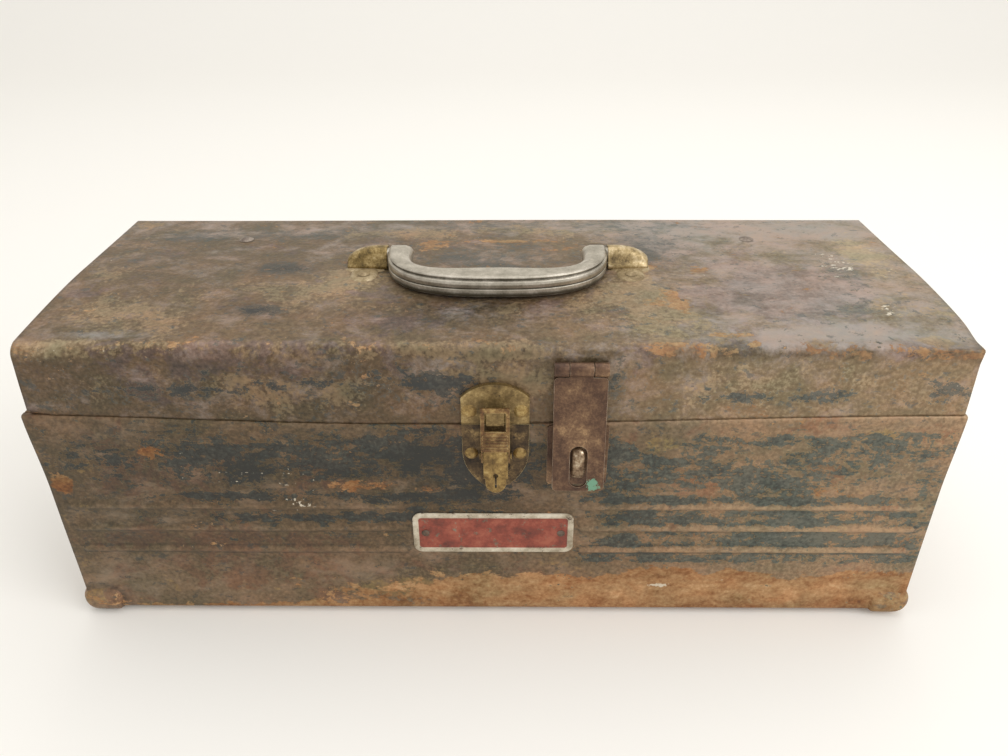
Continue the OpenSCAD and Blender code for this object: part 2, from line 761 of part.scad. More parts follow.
module staple_plate_rivets() {
    color([0.42, 0.34, 0.3])
    for (sx = [-1, 1])
        translate([hasp_x + sx * leaf_rivet_x, y_front - plate_t, staple_rivet_z])
            rotate([90, 0, 0])
                rotate_extrude() {
                    translate([0, -plate_t - sheet - 0.01]) square([rivet_r, plate_t + sheet]);
                    translate([0, -plate_t - sheet - 1]) square([2.6, 1]);
                }
}

// Staple: a flat bar bent to a loop that stands out through the strap's slot
module hasp_staple() {
    color([0.48, 0.34, 0.27])
    along_x(hasp_x - staple_bar / 2, hasp_x + staple_bar / 2)
        difference() {
            union() {
                translate([y_front - staple_tip + staple_r, staple_z - staple_half])
                    square([staple_tip - staple_r - plate_t, 2 * staple_half]);
                translate([y_front - staple_tip, staple_z - staple_half + staple_r])
                    square([staple_r + 0.5, 2 * (staple_half - staple_r)]);
                for (s = [-1, 1])
                    translate([y_front - staple_tip + staple_r, staple_z + s * (staple_half - staple_r)])
                        circle(staple_r);
            }
            translate([y_front - plate_t, staple_z - staple_half]) square([20, 2 * staple_half]);
            translate([y_front - staple_tip + staple_r, staple_z - staple_half + staple_t])
                square([20, 2 * (staple_half - staple_t)]);
            translate([y_front - staple_tip + staple_t, staple_z - staple_half + staple_r])
                square([staple_r, 2 * (staple_half - staple_r)]);
            for (s = [-1, 1])
                translate([y_front - staple_tip + staple_r, staple_z + s * (staple_half - staple_r)])
                    circle(staple_r - staple_t);
        }
}

// Front, top and back of the lid, bent from one sheet
module lid_wrap() {
    color([0.33, 0.31, 0.3])
    difference() {
        along_x(-x_lid, x_lid)
            difference() {
                arch(y_lid, y_back, z_lid, z_top, lid_bend_r, lid_back_r);
                arch(y_lid + sheet, y_back - sheet, z_lid - 1, z_top - sheet,
                    lid_bend_r - sheet, lid_back_r - sheet);
            }
        for (sx = [-1, 1]) {
            rod_front(latch_x + sx * strike_rivet_x, strike_rivet_z, -6, 1, rivet_r + slip);
            rod_front(hasp_x + sx * leaf_rivet_x, leaf_rivet_z, -6, 1, rivet_r + slip);
            for (sy = [-1, 1])
                translate([handle_x + sx * ear_mid, y_axis + sy * ear_y, z_top - 3])
                    cylinder(r = rivet_r + slip, h = 5);
            translate([sx * mark_x, mark_y, z_top - 3]) cylinder(r = rivet_r + slip, h = 5);
        }
    }
}

// One end panel of the lid, flanged on three sides
module lid_end(s) {
    y0 = y_lid + sheet + weld;
    y1 = y_back - sheet - weld;
    z1 = z_top - sheet - weld;
    ra = lid_bend_r - sheet - weld;
    rb = max(lid_back_r - sheet - weld, 0.6);
    color([0.31, 0.3, 0.3])
    mirror([s < 0 ? 1 : 0, 0, 0]) {
        along_x(x_lid - sheet, x_lid) arch(y0, y1, z_lid, z1, ra, rb);
        along_x(x_lid - flange_w, x_lid - sheet / 2)
            difference() {
                arch(y0, y1, z_lid + lip_h + 1, z1, ra, rb);
                arch(y0 + sheet, y1 - sheet, z_lid - 1, z1 - sheet, ra - sheet, max(rb - sheet, 0.3));
            }
    }
}

module lid_end_left() { lid_end(-1); }
module lid_end_right() { lid_end(1); }

// Two low rivets towards the back of the lid's top
module lid_rivets() {
    color([0.4, 0.36, 0.33])
    for (sx = [-1, 1])
        translate([sx * mark_x, mark_y, z_top])
            rivet(4.4, 1.3, rivet_r, sheet, 2.6, 0.9);
}

// Handle bracket: a half-round sleeve with a sloped nose, on a plate with an ear in front and behind
module handle_bracket(s) {
    x1 = bracket_x0 + bracket_l;
    nose = 5.5;
    rise = axis_z - z_top;
    color([0.62, 0.52, 0.32])
    translate([handle_x, 0, 0])
    mirror([s < 0 ? 1 : 0, 0, 0])
    difference() {
        union() {
            translate([0, 0, z_top])
                linear_extrude(bracket_t) {
                    translate([bracket_x0, y_axis - sleeve_out - 3]) square([bracket_l, 2 * sleeve_out + 6]);
                    translate([ear_mid, y_axis]) pill(ear_w, 2 * ear_y + ear_w, ear_w / 2 - 0.2);
                }
            rod_x(bracket_x0, x1 - nose, y_axis, axis_z, sleeve_out);
            translate([x1 - nose, y_axis, axis_z])
                rotate([0, 90, 0])
                    cylinder(r1 = sleeve_out, r2 = sleeve_out - 3.2, h = nose);
            translate([0, 0, z_top])
                linear_extrude(rise)
                    polygon([[bracket_x0, y_axis - sleeve_out + 0.1], [x1 - nose, y_axis - sleeve_out + 0.1],
                        [x1, y_axis - sleeve_out + 3.3], [x1, y_axis + sleeve_out - 3.3],
                        [x1 - nose, y_axis + sleeve_out - 0.1], [bracket_x0, y_axis + sleeve_out - 0.1]]);
        }
        rod_x(bracket_x0 - 1, x1 - nose, y_axis, axis_z, sleeve_r);
        translate([bracket_x0 - 1, y_axis - sleeve_r + 0.1, z_top - 1])
            cube([bracket_l - nose + 1, 2 * sleeve_r - 0.2, rise + 1]);
        translate([0, 0, z_top - 20]) cube([300, 400, 40], center = true);
        for (sy = [-1, 1])
            translate([ear_mid, y_axis + sy * ear_y, z_top - 1]) cylinder(r = rivet_r + slip, h = 4);
    }
}

module handle_bracket_left() { handle_bracket(-1); }
module handle_bracket_right() { handle_bracket(1); }

module handle_bracket_rivets() {
    color([0.6, 0.52, 0.36])
    for (sx = [-1, 1])
        for (sy = [-1, 1])
            translate([handle_x + sx * ear_mid, y_axis + sy * ear_y, z_top + bracket_t])
                rivet(3.6, 1.1, rivet_r, bracket_t + sheet, 2.6, 0.9);
}

// Points of one ring of the handle, between inner edge pi and outer edge po, at thickness t about the axis
function grip_ring(pi, po, t) =
    let (d = po - pi, w = norm(d), e = d / w)
    [for (p = grip_sec)
        let (q = p[0] == 0 ? pi + e * p[1] : po - e * p[1])
        [handle_x + q[0], y_axis + q[1], axis_z + (p[2] - 0.5) * t]];

function grip_at(t) = grip_ring(
    oval(handle_w / 2 - arm_w, handle_reach - grip_w, 4, t),
    oval(handle_w / 2, handle_reach, 2.6, t), handle_t);

function grip_end(s, b) = grip_ring(
    [s * (handle_w / 2 - arm_w), grip_cap * sin(b)],
    [s * handle_w / 2, grip_cap * sin(b)], handle_t * (0.14 + 0.86 * cos(b)));

// Cast handle: a section drawn round the bow from pivot to pivot, with a stud at each end
module handle() {
    rings = concat(
        [for (b = [80, 60, 40, 20]) grip_end(1, b)],
        [for (k = [0 : grip_n]) grip_at(180 * k / grip_n)],
        [for (b = [20, 40, 60, 80]) grip_end(-1, b)]);
    m = len(grip_sec);
    n = len(rings);
    points = [for (r = rings) for (p = r) p];
    sides = [for (i = [0 : n - 2]) for (j = [0 : m - 1]) let (k = (j + 1) % m)
        each [[i * m + j, i * m + k, (i + 1) * m + k], [i * m + j, (i + 1) * m + k, (i + 1) * m + j]]];
    first = [for (j = [m - 1 : -1 : 0]) j];
    last = [for (j = [0 : m - 1]) (n - 1) * m + j];
    color([0.66, 0.65, 0.62]) {
        polyhedron(points, concat(sides, [first, last]), convexity = 6);
        for (s = [-1, 1])
            rod_x(handle_x + (s > 0 ? handle_w / 2 - 5 : -bracket_x0 - bracket_l + 6.5),
                handle_x + (s > 0 ? bracket_x0 + bracket_l - 6.5 : -handle_w / 2 + 5), y_axis, axis_z, stud_r);
    }
}

// Angle on one end wall that the tray rests on
module tray_rest(s) {
    color([0.35, 0.35, 0.35])
    mirror([s < 0 ? 1 : 0, 0, 0])
    difference() {
        union() {
            translate([x_end - sheet - 14, y_mid - rest_l / 2, rest_z - rest_t]) cube([14, rest_l, rest_t]);
            translate([x_end - sheet - rest_t, y_mid - rest_l / 2, rest_z - rest_leg])
                cube([rest_t, rest_l, rest_leg]);
        }
        for (sy = [-1, 1])
            rod_x(x_end - 6, x_end + 1, y_mid + sy * rest_rivet_y, rest_z - rest_leg / 2, rivet_r + slip);
    }
}

module tray_rest_left() { tray_rest(-1); }
module tray_rest_right() { tray_rest(1); }

module tray_rest_rivets() {
    color([0.42, 0.38, 0.35])
    for (sx = [-1, 1])
        for (sy = [-1, 1])
            translate([sx * x_end, y_mid + sy * rest_rivet_y, rest_z - rest_leg / 2])
                rotate([0, sx * 90, 0])
                    rivet(3.2, 1.2, rivet_r, sheet + rest_t, 2.4, 0.9);
}

// Lift-out tray: an open pan with a rolled rim
module tray_pan() {
    color([0.42, 0.2, 0.17])
    difference() {
        union() {
            translate([-tray_x + 1, tray_y0 + 1, tray_z0])
                cube([2 * tray_x - 2, tray_y1 - tray_y0 - 2, tray_h - 2]);
            translate([-tray_x, tray_y0, tray_z1 - 3]) cube([2 * tray_x, tray_y1 - tray_y0, 3]);
        }
        translate([-tray_x + 1 + tray_t, tray_y0 + 1 + tray_t, tray_z0 + tray_t])
            cube([2 * (tray_x - 1 - tray_t), tray_y1 - tray_y0 - 2 - 2 * tray_t, tray_h]);
        for (sx = [-1, 1])
            translate([sx * tray_rivet_x, tray_y0 - 1, tray_rivet_z])
                rotate([-90, 0, 0])
                    cylinder(r = rivet_r + slip, h = tray_y1 - tray_y0 + 2);
    }
}

// Carrying strap over the middle of the tray
module tray_strap() {
    y0 = tray_y0 + 1 + tray_t;
    y1 = tray_y1 - 1 - tray_t;
    color([0.4, 0.2, 0.17])
    difference() {
        along_x(-tray_strap_w / 2, tray_strap_w / 2)
            difference() {
                arch(y0, y1, tray_z1 - 24, tray_strap_z, 9, 9);
                arch(y0 + tray_strap_t, y1 - tray_strap_t, tray_z1 - 30, tray_strap_z - tray_strap_t,
                    9 - tray_strap_t, 9 - tray_strap_t);
            }
        for (sx = [-1, 1])
            translate([sx * tray_rivet_x, tray_y0 - 1, tray_rivet_z])
                rotate([-90, 0, 0])
                    cylinder(r = rivet_r + slip, h = tray_y1 - tray_y0 + 2);
    }
}

module tray_strap_rivets() {
    color([0.45, 0.42, 0.4])
    for (sx = [-1, 1]) {
        translate([sx * tray_rivet_x, tray_y0 + 1, tray_rivet_z])
            rotate([90, 0, 0])
                rivet(2.8, 1, rivet_r, tray_t + tray_strap_t, 2.2, 0.8);
        translate([sx * tray_rivet_x, tray_y1 - 1, tray_rivet_z])
            rotate([-90, 0, 0])
                rivet(2.8, 1, rivet_r, tray_t + tray_strap_t, 2.2, 0.8);
    }
}

base_wrap();
base_end_left();
base_end_right();
foot_front_left();
foot_front_right();
foot_back_left();
foot_back_right();
hinge_leaf_base();
hinge_leaf_lid();
hinge_pin();
name_plate();
name_plate_rivets();
latch_shield();
latch_shield_rivets();
latch_lever_pin();
latch_lever();
latch_link_pin();
latch_link();
latch_strike();
latch_strike_rivets();
hasp_leaf();
hasp_leaf_rivets();
hasp_pin();
hasp_strap();
staple_plate();
staple_plate_rivets();
hasp_staple();
lid_wrap();
lid_end_left();
lid_end_right();
lid_rivets();
handle_bracket_left();
handle_bracket_right();
handle_bracket_rivets();
handle();
tray_rest_left();
tray_rest_right();
tray_rest_rivets();
tray_pan();
tray_strap();
tray_strap_rivets();
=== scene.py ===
"""Looks of a steel toolbox: browned, rusted sheet under worn slate paint, tarnished hardware and a cast handle."""

import bpy
import numpy as np
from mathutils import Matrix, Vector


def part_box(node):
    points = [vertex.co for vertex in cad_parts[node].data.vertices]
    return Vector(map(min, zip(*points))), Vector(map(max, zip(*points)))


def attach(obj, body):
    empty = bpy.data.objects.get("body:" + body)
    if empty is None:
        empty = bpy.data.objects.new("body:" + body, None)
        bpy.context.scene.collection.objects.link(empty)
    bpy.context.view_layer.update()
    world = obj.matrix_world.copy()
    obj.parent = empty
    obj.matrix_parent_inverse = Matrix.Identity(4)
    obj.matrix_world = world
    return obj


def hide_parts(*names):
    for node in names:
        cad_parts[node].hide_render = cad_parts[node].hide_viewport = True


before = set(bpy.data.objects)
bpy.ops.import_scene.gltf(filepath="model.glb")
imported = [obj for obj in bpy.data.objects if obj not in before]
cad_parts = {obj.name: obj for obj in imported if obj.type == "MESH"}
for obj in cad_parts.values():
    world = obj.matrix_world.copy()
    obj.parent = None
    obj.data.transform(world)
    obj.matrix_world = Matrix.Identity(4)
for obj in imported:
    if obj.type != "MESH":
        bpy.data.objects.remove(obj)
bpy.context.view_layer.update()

# The base's wrap: front, bottom and back of one 1 mm mild-steel sheet, with three ribs pressed outwards and its top
# edge turned in under the lid. Slate paint has worn off it to browned steel, and rust has come up from below.

MM = 1000  # in a metre: the frame is in metres, and sizes here are in millimetres
RIB_OUT, LIP_H, SHEET = 1.2, 5.0, 1.0
(left, front, bottom), (right, back, lip_top) = np.array(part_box("base_wrap")) * MM
front, back, seam = front + RIB_OUT, back - RIB_OUT, lip_top - LIP_H
LIP_IN_FRONT, LIP_IN_BACK, LIP_IN_END = 2.3, 1.5, 3.1
lip_front, lip_back, lip_end = front + LIP_IN_FRONT, back - LIP_IN_BACK, right - LIP_IN_END
RIB_HEIGHTS = bottom + np.array([48.0, 63.5, 79.0])
RIB_HALF, RIB_FROM, RIB_TO = 3.3, 50.0, right - 9
LATCH_NOTCH = (-21.5, 25.5)
SEAM_DIP, DIP_X, DIP_LEFT, DIP_RIGHT = 5.6, -45.0, 225.0, 300.0
RIM_FLARE = 1.9


def bent_path(corners, radii, steps, arc=8):
    """Points along a bent strip in a plane: straight runs between the corners, with points about one step apart,
    and an arc of the given radius in place of each inner corner, tangent to both of its runs."""
    corners = np.array(corners, float)
    runs = np.diff(corners, axis=0)
    ways = runs / np.linalg.norm(runs, axis=1)[:, None]
    turns = np.arccos(np.clip((ways[:-1] * ways[1:]).sum(1), -1, 1))
    cut = np.array(radii) * np.tan(turns / 2)
    starts = corners[:-1] + ways * np.append(0, cut)[:, None]
    ends = corners[1:] - ways * np.append(cut, 0)[:, None]
    pieces = []
    for k, step in enumerate(steps):
        count = max(2, int(np.linalg.norm(ends[k] - starts[k]) / step) + 1)
        pieces.append(starts[k] + (ends[k] - starts[k]) * np.linspace(0, 1, count)[:, None])
        if k < len(turns):
            side = ways[k + 1] - ways[k] * np.cos(turns[k])
            inward = side / np.linalg.norm(side)
            centre = ends[k] + inward * radii[k]
            angle = np.linspace(0, turns[k], arc + 2)[1:-1, None]
            pieces.append(centre + radii[k] * (np.sin(angle) * ways[k] - np.cos(angle) * inward))
    return np.concatenate(pieces)


def outward(path):
    """Unit normals of a path in a plane: its direction of travel turned a quarter to the right, (dz, -dy)."""
    along = np.gradient(path, axis=0)
    along /= np.linalg.norm(along, axis=1)[:, None]
    return np.stack([along[:, 1], -along[:, 0]], 1)


def grid_faces(rows, columns, round_columns=False):
    """Quads of a grid of points; round columns join the last to the first."""
    number = np.arange(rows * columns).reshape(rows, columns)
    if round_columns:
        number = np.concatenate([number, number[:, :1]], 1)
    return np.stack([number[:-1, :-1], number[1:, :-1], number[1:, 1:], number[:-1, 1:]], -1).reshape(-1, 4)


def blotches(a, b, spots):
    """Sum of soft spots: (centre a, centre b, reach a, reach b, amount), each amount * exp(-(da/ra)^2 - (db/rb)^2)."""
    s = np.array(spots, float)[:, :, None, None]
    return (s[:, 4] * np.exp(-((a - s[:, 0]) / s[:, 2]) ** 2 - ((b - s[:, 1]) / s[:, 3]) ** 2)).sum(0)


def rise(value, low, high):
    """Smooth step from 0 at low to 1 at high, which may lie below low: 3t^2 - 2t^3."""
    t = np.clip((value - low) / (high - low), 0, 1)
    return t * t * (3 - 2 * t)


def piece(name, parts, body, nodes, material, thickness=0.0, masks=None, inside=None):
    """One object riding a body in place of CAD nodes. Each part is (points in mm, arrays of faces, one row a face).
    Masks are one number per point of the first part, kept as attributes; a thickness makes the surface a sheet,
    and inside is the finish of its inner side."""
    flat = [points.reshape(-1, 3) for points, _ in parts]
    shift = np.cumsum([0] + [len(points) for points in flat])
    faces = []
    for (_, arrays), first in zip(parts, shift):
        for array in arrays:
            faces += (array + first).tolist()
    mesh = bpy.data.meshes.new(name)
    mesh.from_pydata((np.concatenate(flat) / MM).tolist(), [], faces)
    mesh.shade_smooth()
    for key, value in (masks or {}).items():
        field = mesh.attributes.new(key, "FLOAT", "POINT")
        field.data.foreach_set("value", np.pad(value.ravel(), (0, shift[-1] - value.size)).astype(np.float32))
    made = bpy.data.objects.new(name, mesh)
    bpy.context.collection.objects.link(made)
    made.data.materials.append(material)
    if thickness:
        sheet = made.modifiers.new("sheet_thickness", "SOLIDIFY")
        sheet.thickness, sheet.offset, sheet.use_even_offset = thickness / MM, -1, True
        if inside:
            made.data.materials.append(inside)
            sheet.material_offset = 1
    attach(made, body)
    if nodes:
        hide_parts(*nodes)


def linear(colour):
    """sRGB hex to linear RGBA."""
    c = np.array([int(colour[k:k + 2], 16) for k in (0, 2, 4)]) / 255
    return (*np.where(c <= 0.04045, c / 12.92, ((c + 0.055) / 1.055) ** 2.4), 1.0)


def add(tree, kind, inputs=None, stops=None, **settings):
    """Adds a shader node with its settings and gives its outputs. Each input is linked if it is a socket and set if
    it is a value. Stops are the (place, hex colour) pairs of a colour ramp."""
    node = tree.nodes.new("ShaderNode" + kind)
    for key, value in settings.items():
        setattr(node, key, value)
    for key, value in (inputs or {}).items():
        if isinstance(value, bpy.types.NodeSocket):
            tree.links.new(value, node.inputs[key])
        else:
            node.inputs[key].default_value = value
    for k, (place, colour) in enumerate(stops or []):
        ramp = node.color_ramp.elements
        stop = ramp[k] if k < 2 else ramp.new(place)
        stop.position, stop.color = place, linear(colour)
    return node.outputs


def new_material(name):
    """An empty material, its node tree and, in metres, the object's own coordinates."""
    material = bpy.data.materials.new(name)
    material.use_nodes = True
    tree = material.node_tree
    tree.nodes.clear()
    return material, tree, add(tree, "TexCoord")["Object"]


def surface(tree, colour, metallic, roughness, height, strength, depth, **relief):
    """Ends a material: relief from a height, its depth in mm, then the shader and the output."""
    bump = add(tree, "Bump", {"Height": height, "Strength": strength, "Distance": depth / MM}, **relief)[0]
    shader = add(tree, "BsdfPrincipled", {"Base Color": colour, "Metallic": metallic, "Roughness": roughness,
                                          "Normal": bump})[0]
    add(tree, "OutputMaterial", {"Surface": shader})


def weathered_sheet(name, drag, brown, plum, slate, painted_sheen, khaki, rust, paint, cream, side=""):
    """Mild-steel sheet after decades of use. Browned bare steel has a dull sheen and is mottled in grains of a few
    millimetres; over it lie plum and slate tarnish, a pale painted sheen that stands in for reflected light, khaki
    stain, matt rust, ragged islands of paint with a khaki rim, and cream flecks. The pale mask lightens and darkens
    the tone of steel and paint, partly for real stains and wear and partly as painted light and shade. The masks on
    the mesh, whose names start with side, give each one's share, and noise at the size of the real marks draws its
    edge. Drag is how far wiping has drawn the marks out along X. Grains under 2 mm are drawn at 2 to 3 mm, or they
    would not show."""
    material, t, spot = new_material(name)
    drawn, torn, rubbed, scraped = (add(t, "Mapping", {"Vector": spot, "Scale": pull})[0]
                                    for pull in ((1 / drag, 1, 1), (0.65, 1, 1), (0.12, 1, 1), (1, 1, 0.18)))
    field = {key: add(t, "Attribute", attribute_name=side + key)["Fac"]
             for key in ("pale", "plum", "slate", "painted_sheen", "khaki", "rust", "paint", "flake")}
    for key, where, size, detail, rough, bend in (
            ("cloud", spot, 70, 4, 0.5, 0), ("mottle", drawn, 16, 6, 0.75, 0.3), ("grain", spot, 2.2, 2, 0.6, 0),
            ("patch", spot, 34, 7, 0.74, 0.4), ("bloom", drawn, 22, 7, 0.76, 0.5), ("ragged", torn, 15, 8, 0.8, 0.4),
            ("scratch", rubbed, 3, 4, 0.7, 0), ("scrape", scraped, 7, 5, 0.7, 0), ("fleck", drawn, 5, 5, 0.72, 0.2),
            ("warmth", drawn, 16, 3, 0.6, 0.4)):
        raw = add(t, "TexNoise", {"Vector": where, "Scale": MM / size, "Detail": detail, "Roughness": rough,
                                  "Distortion": bend})[0]
        field[key] = add(t, "MapRange", {"Value": raw, 1: 1 / 3, 2: 2 / 3}, clamp=False)[0]
    share_weight, edge_at = 0.66, 0.83

    def blend(total, **weights):
        """A starting number plus the weighted sum of the named fields."""
        for key, weight in weights.items():
            total = add(t, "Math", {0: field[key], 1: weight, 2: total}, operation="MULTIPLY_ADD")[0]
        return total

    def cover(below, above, marks, share, soft, top=1.0):
        """Lays one colour over another where marks + 0.66 share passes 0.83. The marks lie about 0.5, so a share of
        0 covers next to nothing, 0.5 half and 1 nearly all. Gives the new colour and the mask."""
        edge = add(t, "Math", {0: share, 1: share_weight, 2: marks}, operation="MULTIPLY_ADD")[0]
        mask = add(t, "MapRange", {"Value": edge, 1: edge_at - soft, 2: edge_at + soft, 4: top},
                   interpolation_type="SMOOTHSTEP")[0]
        return add(t, "Mix", {0: mask, 6: below, 7: above}, data_type="RGBA")[2], mask

    # The steel's tone follows the pale mask, which carries painted light and shade as well as stains and wear.
    tone = blend(0.22, mottle=0.18, grain=0.3, cloud=0.08, pale=0.45)
    brown_tone, plum_tone, khaki_tone, slate_tone = (add(t, "ValToRGB", {0: tone}, stops)[0]
                                                     for stops in (brown, plum, khaki, slate))
    colour, _ = cover(brown_tone, plum_tone, field["patch"], field["plum"], 0.1, 0.9)
    colour, _ = cover(colour, slate_tone, blend(0.0, bloom=0.7, grain=0.3), field["slate"], 0.12, 0.75)
    # Painted sheen: a pale haze laid into the colour where the sheet would reflect light.
    colour, _ = cover(colour, linear(painted_sheen), blend(0.5, bloom=-0.6, mottle=0.6), field["painted_sheen"], 0.42, 0.7)
    colour, _ = cover(colour, khaki_tone, blend(0.76, patch=-0.7, grain=0.18), field["khaki"], 0.1, 0.8)
    colour, _ = cover(colour, slate_tone, field["fleck"], blend(0.0, paint=0.5, slate=0.3), 0.05, 0.7)
    rust_tone = blend(-0.06, patch=0.35, fleck=0.4, grain=0.25, khaki=0.3)
    colour, field["rusted"] = cover(colour, add(t, "ValToRGB", {0: rust_tone}, rust)[0],
                                    blend(0.0, bloom=0.65, fleck=0.35), field["rust"], 0.05, 0.96)
    field["film"] = blend(-0.115, ragged=0.56, fleck=0.24, grain=0.18, scratch=0.17, scrape=0.08)
    colour, _ = cover(colour, khaki_tone, blend(0.045, film=1.0), field["paint"], 0.03, 0.5)
    # The paint's tone also follows the pale mask, so it is painted darker on the left and lighter on the right.
    paint_tone = blend(-0.05, mottle=0.5, grain=0.5, pale=0.5)
    colour, field["painted"] = cover(colour, add(t, "ValToRGB", {0: paint_tone}, paint)[0], field["film"],
                                     field["paint"], 0.03, 0.9)
    warm = blend(0.0, warmth=0.7, cloud=0.3)
    hue = add(t, "ValToRGB", {0: warm}, [(0.15, "a8b4ac"), (0.42, "b8b5ae"), (0.58, "beb4a8"), (0.85, "c9b09c")])[0]
    colour = add(t, "Mix", {0: 0.5, 6: colour, 7: hue}, data_type="RGBA", blend_type="OVERLAY")[2]
    dots = add(t, "TexVoronoi", {"Vector": spot, "Scale": MM / 12})
    rare = add(t, "SeparateColor", {0: dots["Color"]})[0]
    size = add(t, "MapRange", {"Value": rare, 1: 0.8, 2: 1.0, 3: -0.045, 4: 0.045})[0]
    speck = add(t, "Math", {0: size, 1: dots["Distance"]}, operation="GREATER_THAN")[0]
    chips = blend(-0.2, grain=0.3, scratch=0.35, fleck=0.35)
    colour, field["flaked"] = cover(colour, linear(cream), chips, field["flake"], 0.04, 0.9)
    colour = add(t, "Mix", {0: speck, 6: colour, 7: linear(cream)}, data_type="RGBA")[2]

    bare = blend(0.34, painted=-0.28, rusted=-0.28)
    metallic = add(t, "Math", {0: bare, 1: 0.0}, operation="MAXIMUM")[0]
    rough = blend(0.4, grain=0.12, mottle=0.08, rusted=0.25)
    height = blend(0.0, grain=0.25, mottle=0.2, painted=0.22, flaked=0.5, rusted=0.15)
    surface(t, colour, metallic, rough, height, 0.6, 0.6)
    return material


base_tones = dict(
    brown=[(0, "3a3022"), (0.35, "5f4e39"), (0.65, "806b53"), (1, "ac9375")],
    plum=[(0, "402f26"), (0.35, "5f4735"), (0.65, "7e5e46"), (1, "a37e60")],
    slate=[(0, "30312d"), (0.5, "4a4944"), (1, "6c6a63")], painted_sheen="8f8373",
    khaki=[(0, "5a4a2f"), (0.5, "846d46"), (1, "ac9467")], cream="cfc3ae",
    rust=[(0, "5c3719"), (0.3, "845830"), (0.5, "99734b"), (0.75, "b08c63"), (1, "c9a981")],
    paint=[(0.1, "161b1b"), (0.45, "2f3735"), (0.95, "596059")])
base_steel = weathered_sheet("browned_steel_under_worn_slate_paint", 1.7, **base_tones)
# The same sheet inside, where hands and weather haven't reached: dull slate paint, chipped, with rust in the corners.
kept_paint = weathered_sheet("kept_slate_paint_inside", 1.2, **base_tones, side="inside_")


def seam_dip(x, y, z, fade):
    """How far the seam hangs along the front: cos^2 to each side of its lowest point, fading out away from it."""
    side = np.abs(x - DIP_X) / np.where(x < DIP_X, DIP_LEFT, DIP_RIGHT)
    along = np.cos(np.clip(side, 0, 1) * np.pi / 2) ** 2
    return SEAM_DIP * along * rise(y, front + 30, front + 8) * rise(np.abs(z - seam), fade, 3)


columns = np.concatenate([np.linspace(a, b, n, endpoint=False) for a, b, n in (
    (left, left + 18, 10), (left + 18, -56, 58), (-56, -44, 9), (-44, 44, 24), (44, 56, 9), (56, right - 18, 58),
    (right - 18, right, 10))] + [[right]])
wrap_path = bent_path([(lip_front + SHEET, seam), (front, seam), (front, bottom), (back, bottom), (back, seam),
                       (lip_back - SHEET, seam)], [1.5, 4, 4, 1.5], [0.9, 1.3, 8, 2.2, 0.9])
wrap_out = outward(wrap_path)
x, y = np.meshgrid(columns, wrap_path[:, 0])
z = np.repeat(wrap_path[:, 1:], len(columns), 1)
on_front = rise(y, front + 4, front + 1) * rise(z, bottom + 4, bottom + 8)
on_back = rise(y, back - 4, back - 1) * rise(z, bottom + 4, bottom + 8)


def rim_flare(z):
    """How far the base's ends lean out towards the seam."""
    return RIM_FLARE * rise(z, seam - 50, seam)


def ribs(start, stop):
    """Height of the three beads, 0 to 1: cos^2 of the distance to each bead's centre line, from start to stop."""
    ends = np.maximum(np.maximum(start - x, x - stop), 0)
    away = np.hypot(z[..., None] - RIB_HEIGHTS, ends[..., None]).min(-1)
    return np.cos(np.clip(away / RIB_HALF, 0, 1) * np.pi / 2) ** 2


bead = on_front * np.maximum(ribs(-RIB_TO, -RIB_FROM), ribs(RIB_FROM, RIB_TO)) + on_back * ribs(-RIB_TO, RIB_TO)
wave = 0.25 * np.sin(x / 41 + z / 33) * np.sin(z / 27 - x / 73 + 1) * (on_front + on_back) * rise(seam - z, 3, 25)
out = RIB_OUT * bead + wave
lean = np.sign(x) * rim_flare(z) * rise(np.abs(x), right - 60, right)
base_points = np.stack([x + lean, y + out * wrap_out[:, :1],
                        z + out * wrap_out[:, 1:] - seam_dip(x, y, z, 55)], -1)
up = z - bottom
facing = rise(y, front + 8, front + 3)
crest, bead_foot_shade = rise(bead, 0.2, 0.8), rise(bead, 0.0, 0.06) * rise(bead, 0.4, 0.15)
between = rise(up, 35, 40) * rise(up, 89, 84) * (1 - crest)
rust_top = up + 4 * np.sin(x / 23) + 2.5 * np.sin(x / 9 + 1) + 1.5 * np.sin(x / 3.7)
low_rust = rise(rust_top, 37, 25) * rise(x, -60, 30)
foot_ring = np.hypot(np.abs(x) - right + 8.7, up - 6.5)
right_paint = (0.58 * between + 0.24 * rise(up, 84, 90) * rise(up, 128, 116)) * rise(x, 40, 58)


def kept_inside(paint, rust):
    """Masks of a sheet's inner side, which is even but for its shares of paint and rust."""
    return {"inside_pale": np.full_like(rust, 0.3), "inside_paint": np.broadcast_to(paint, rust.shape),
            "inside_rust": rust}


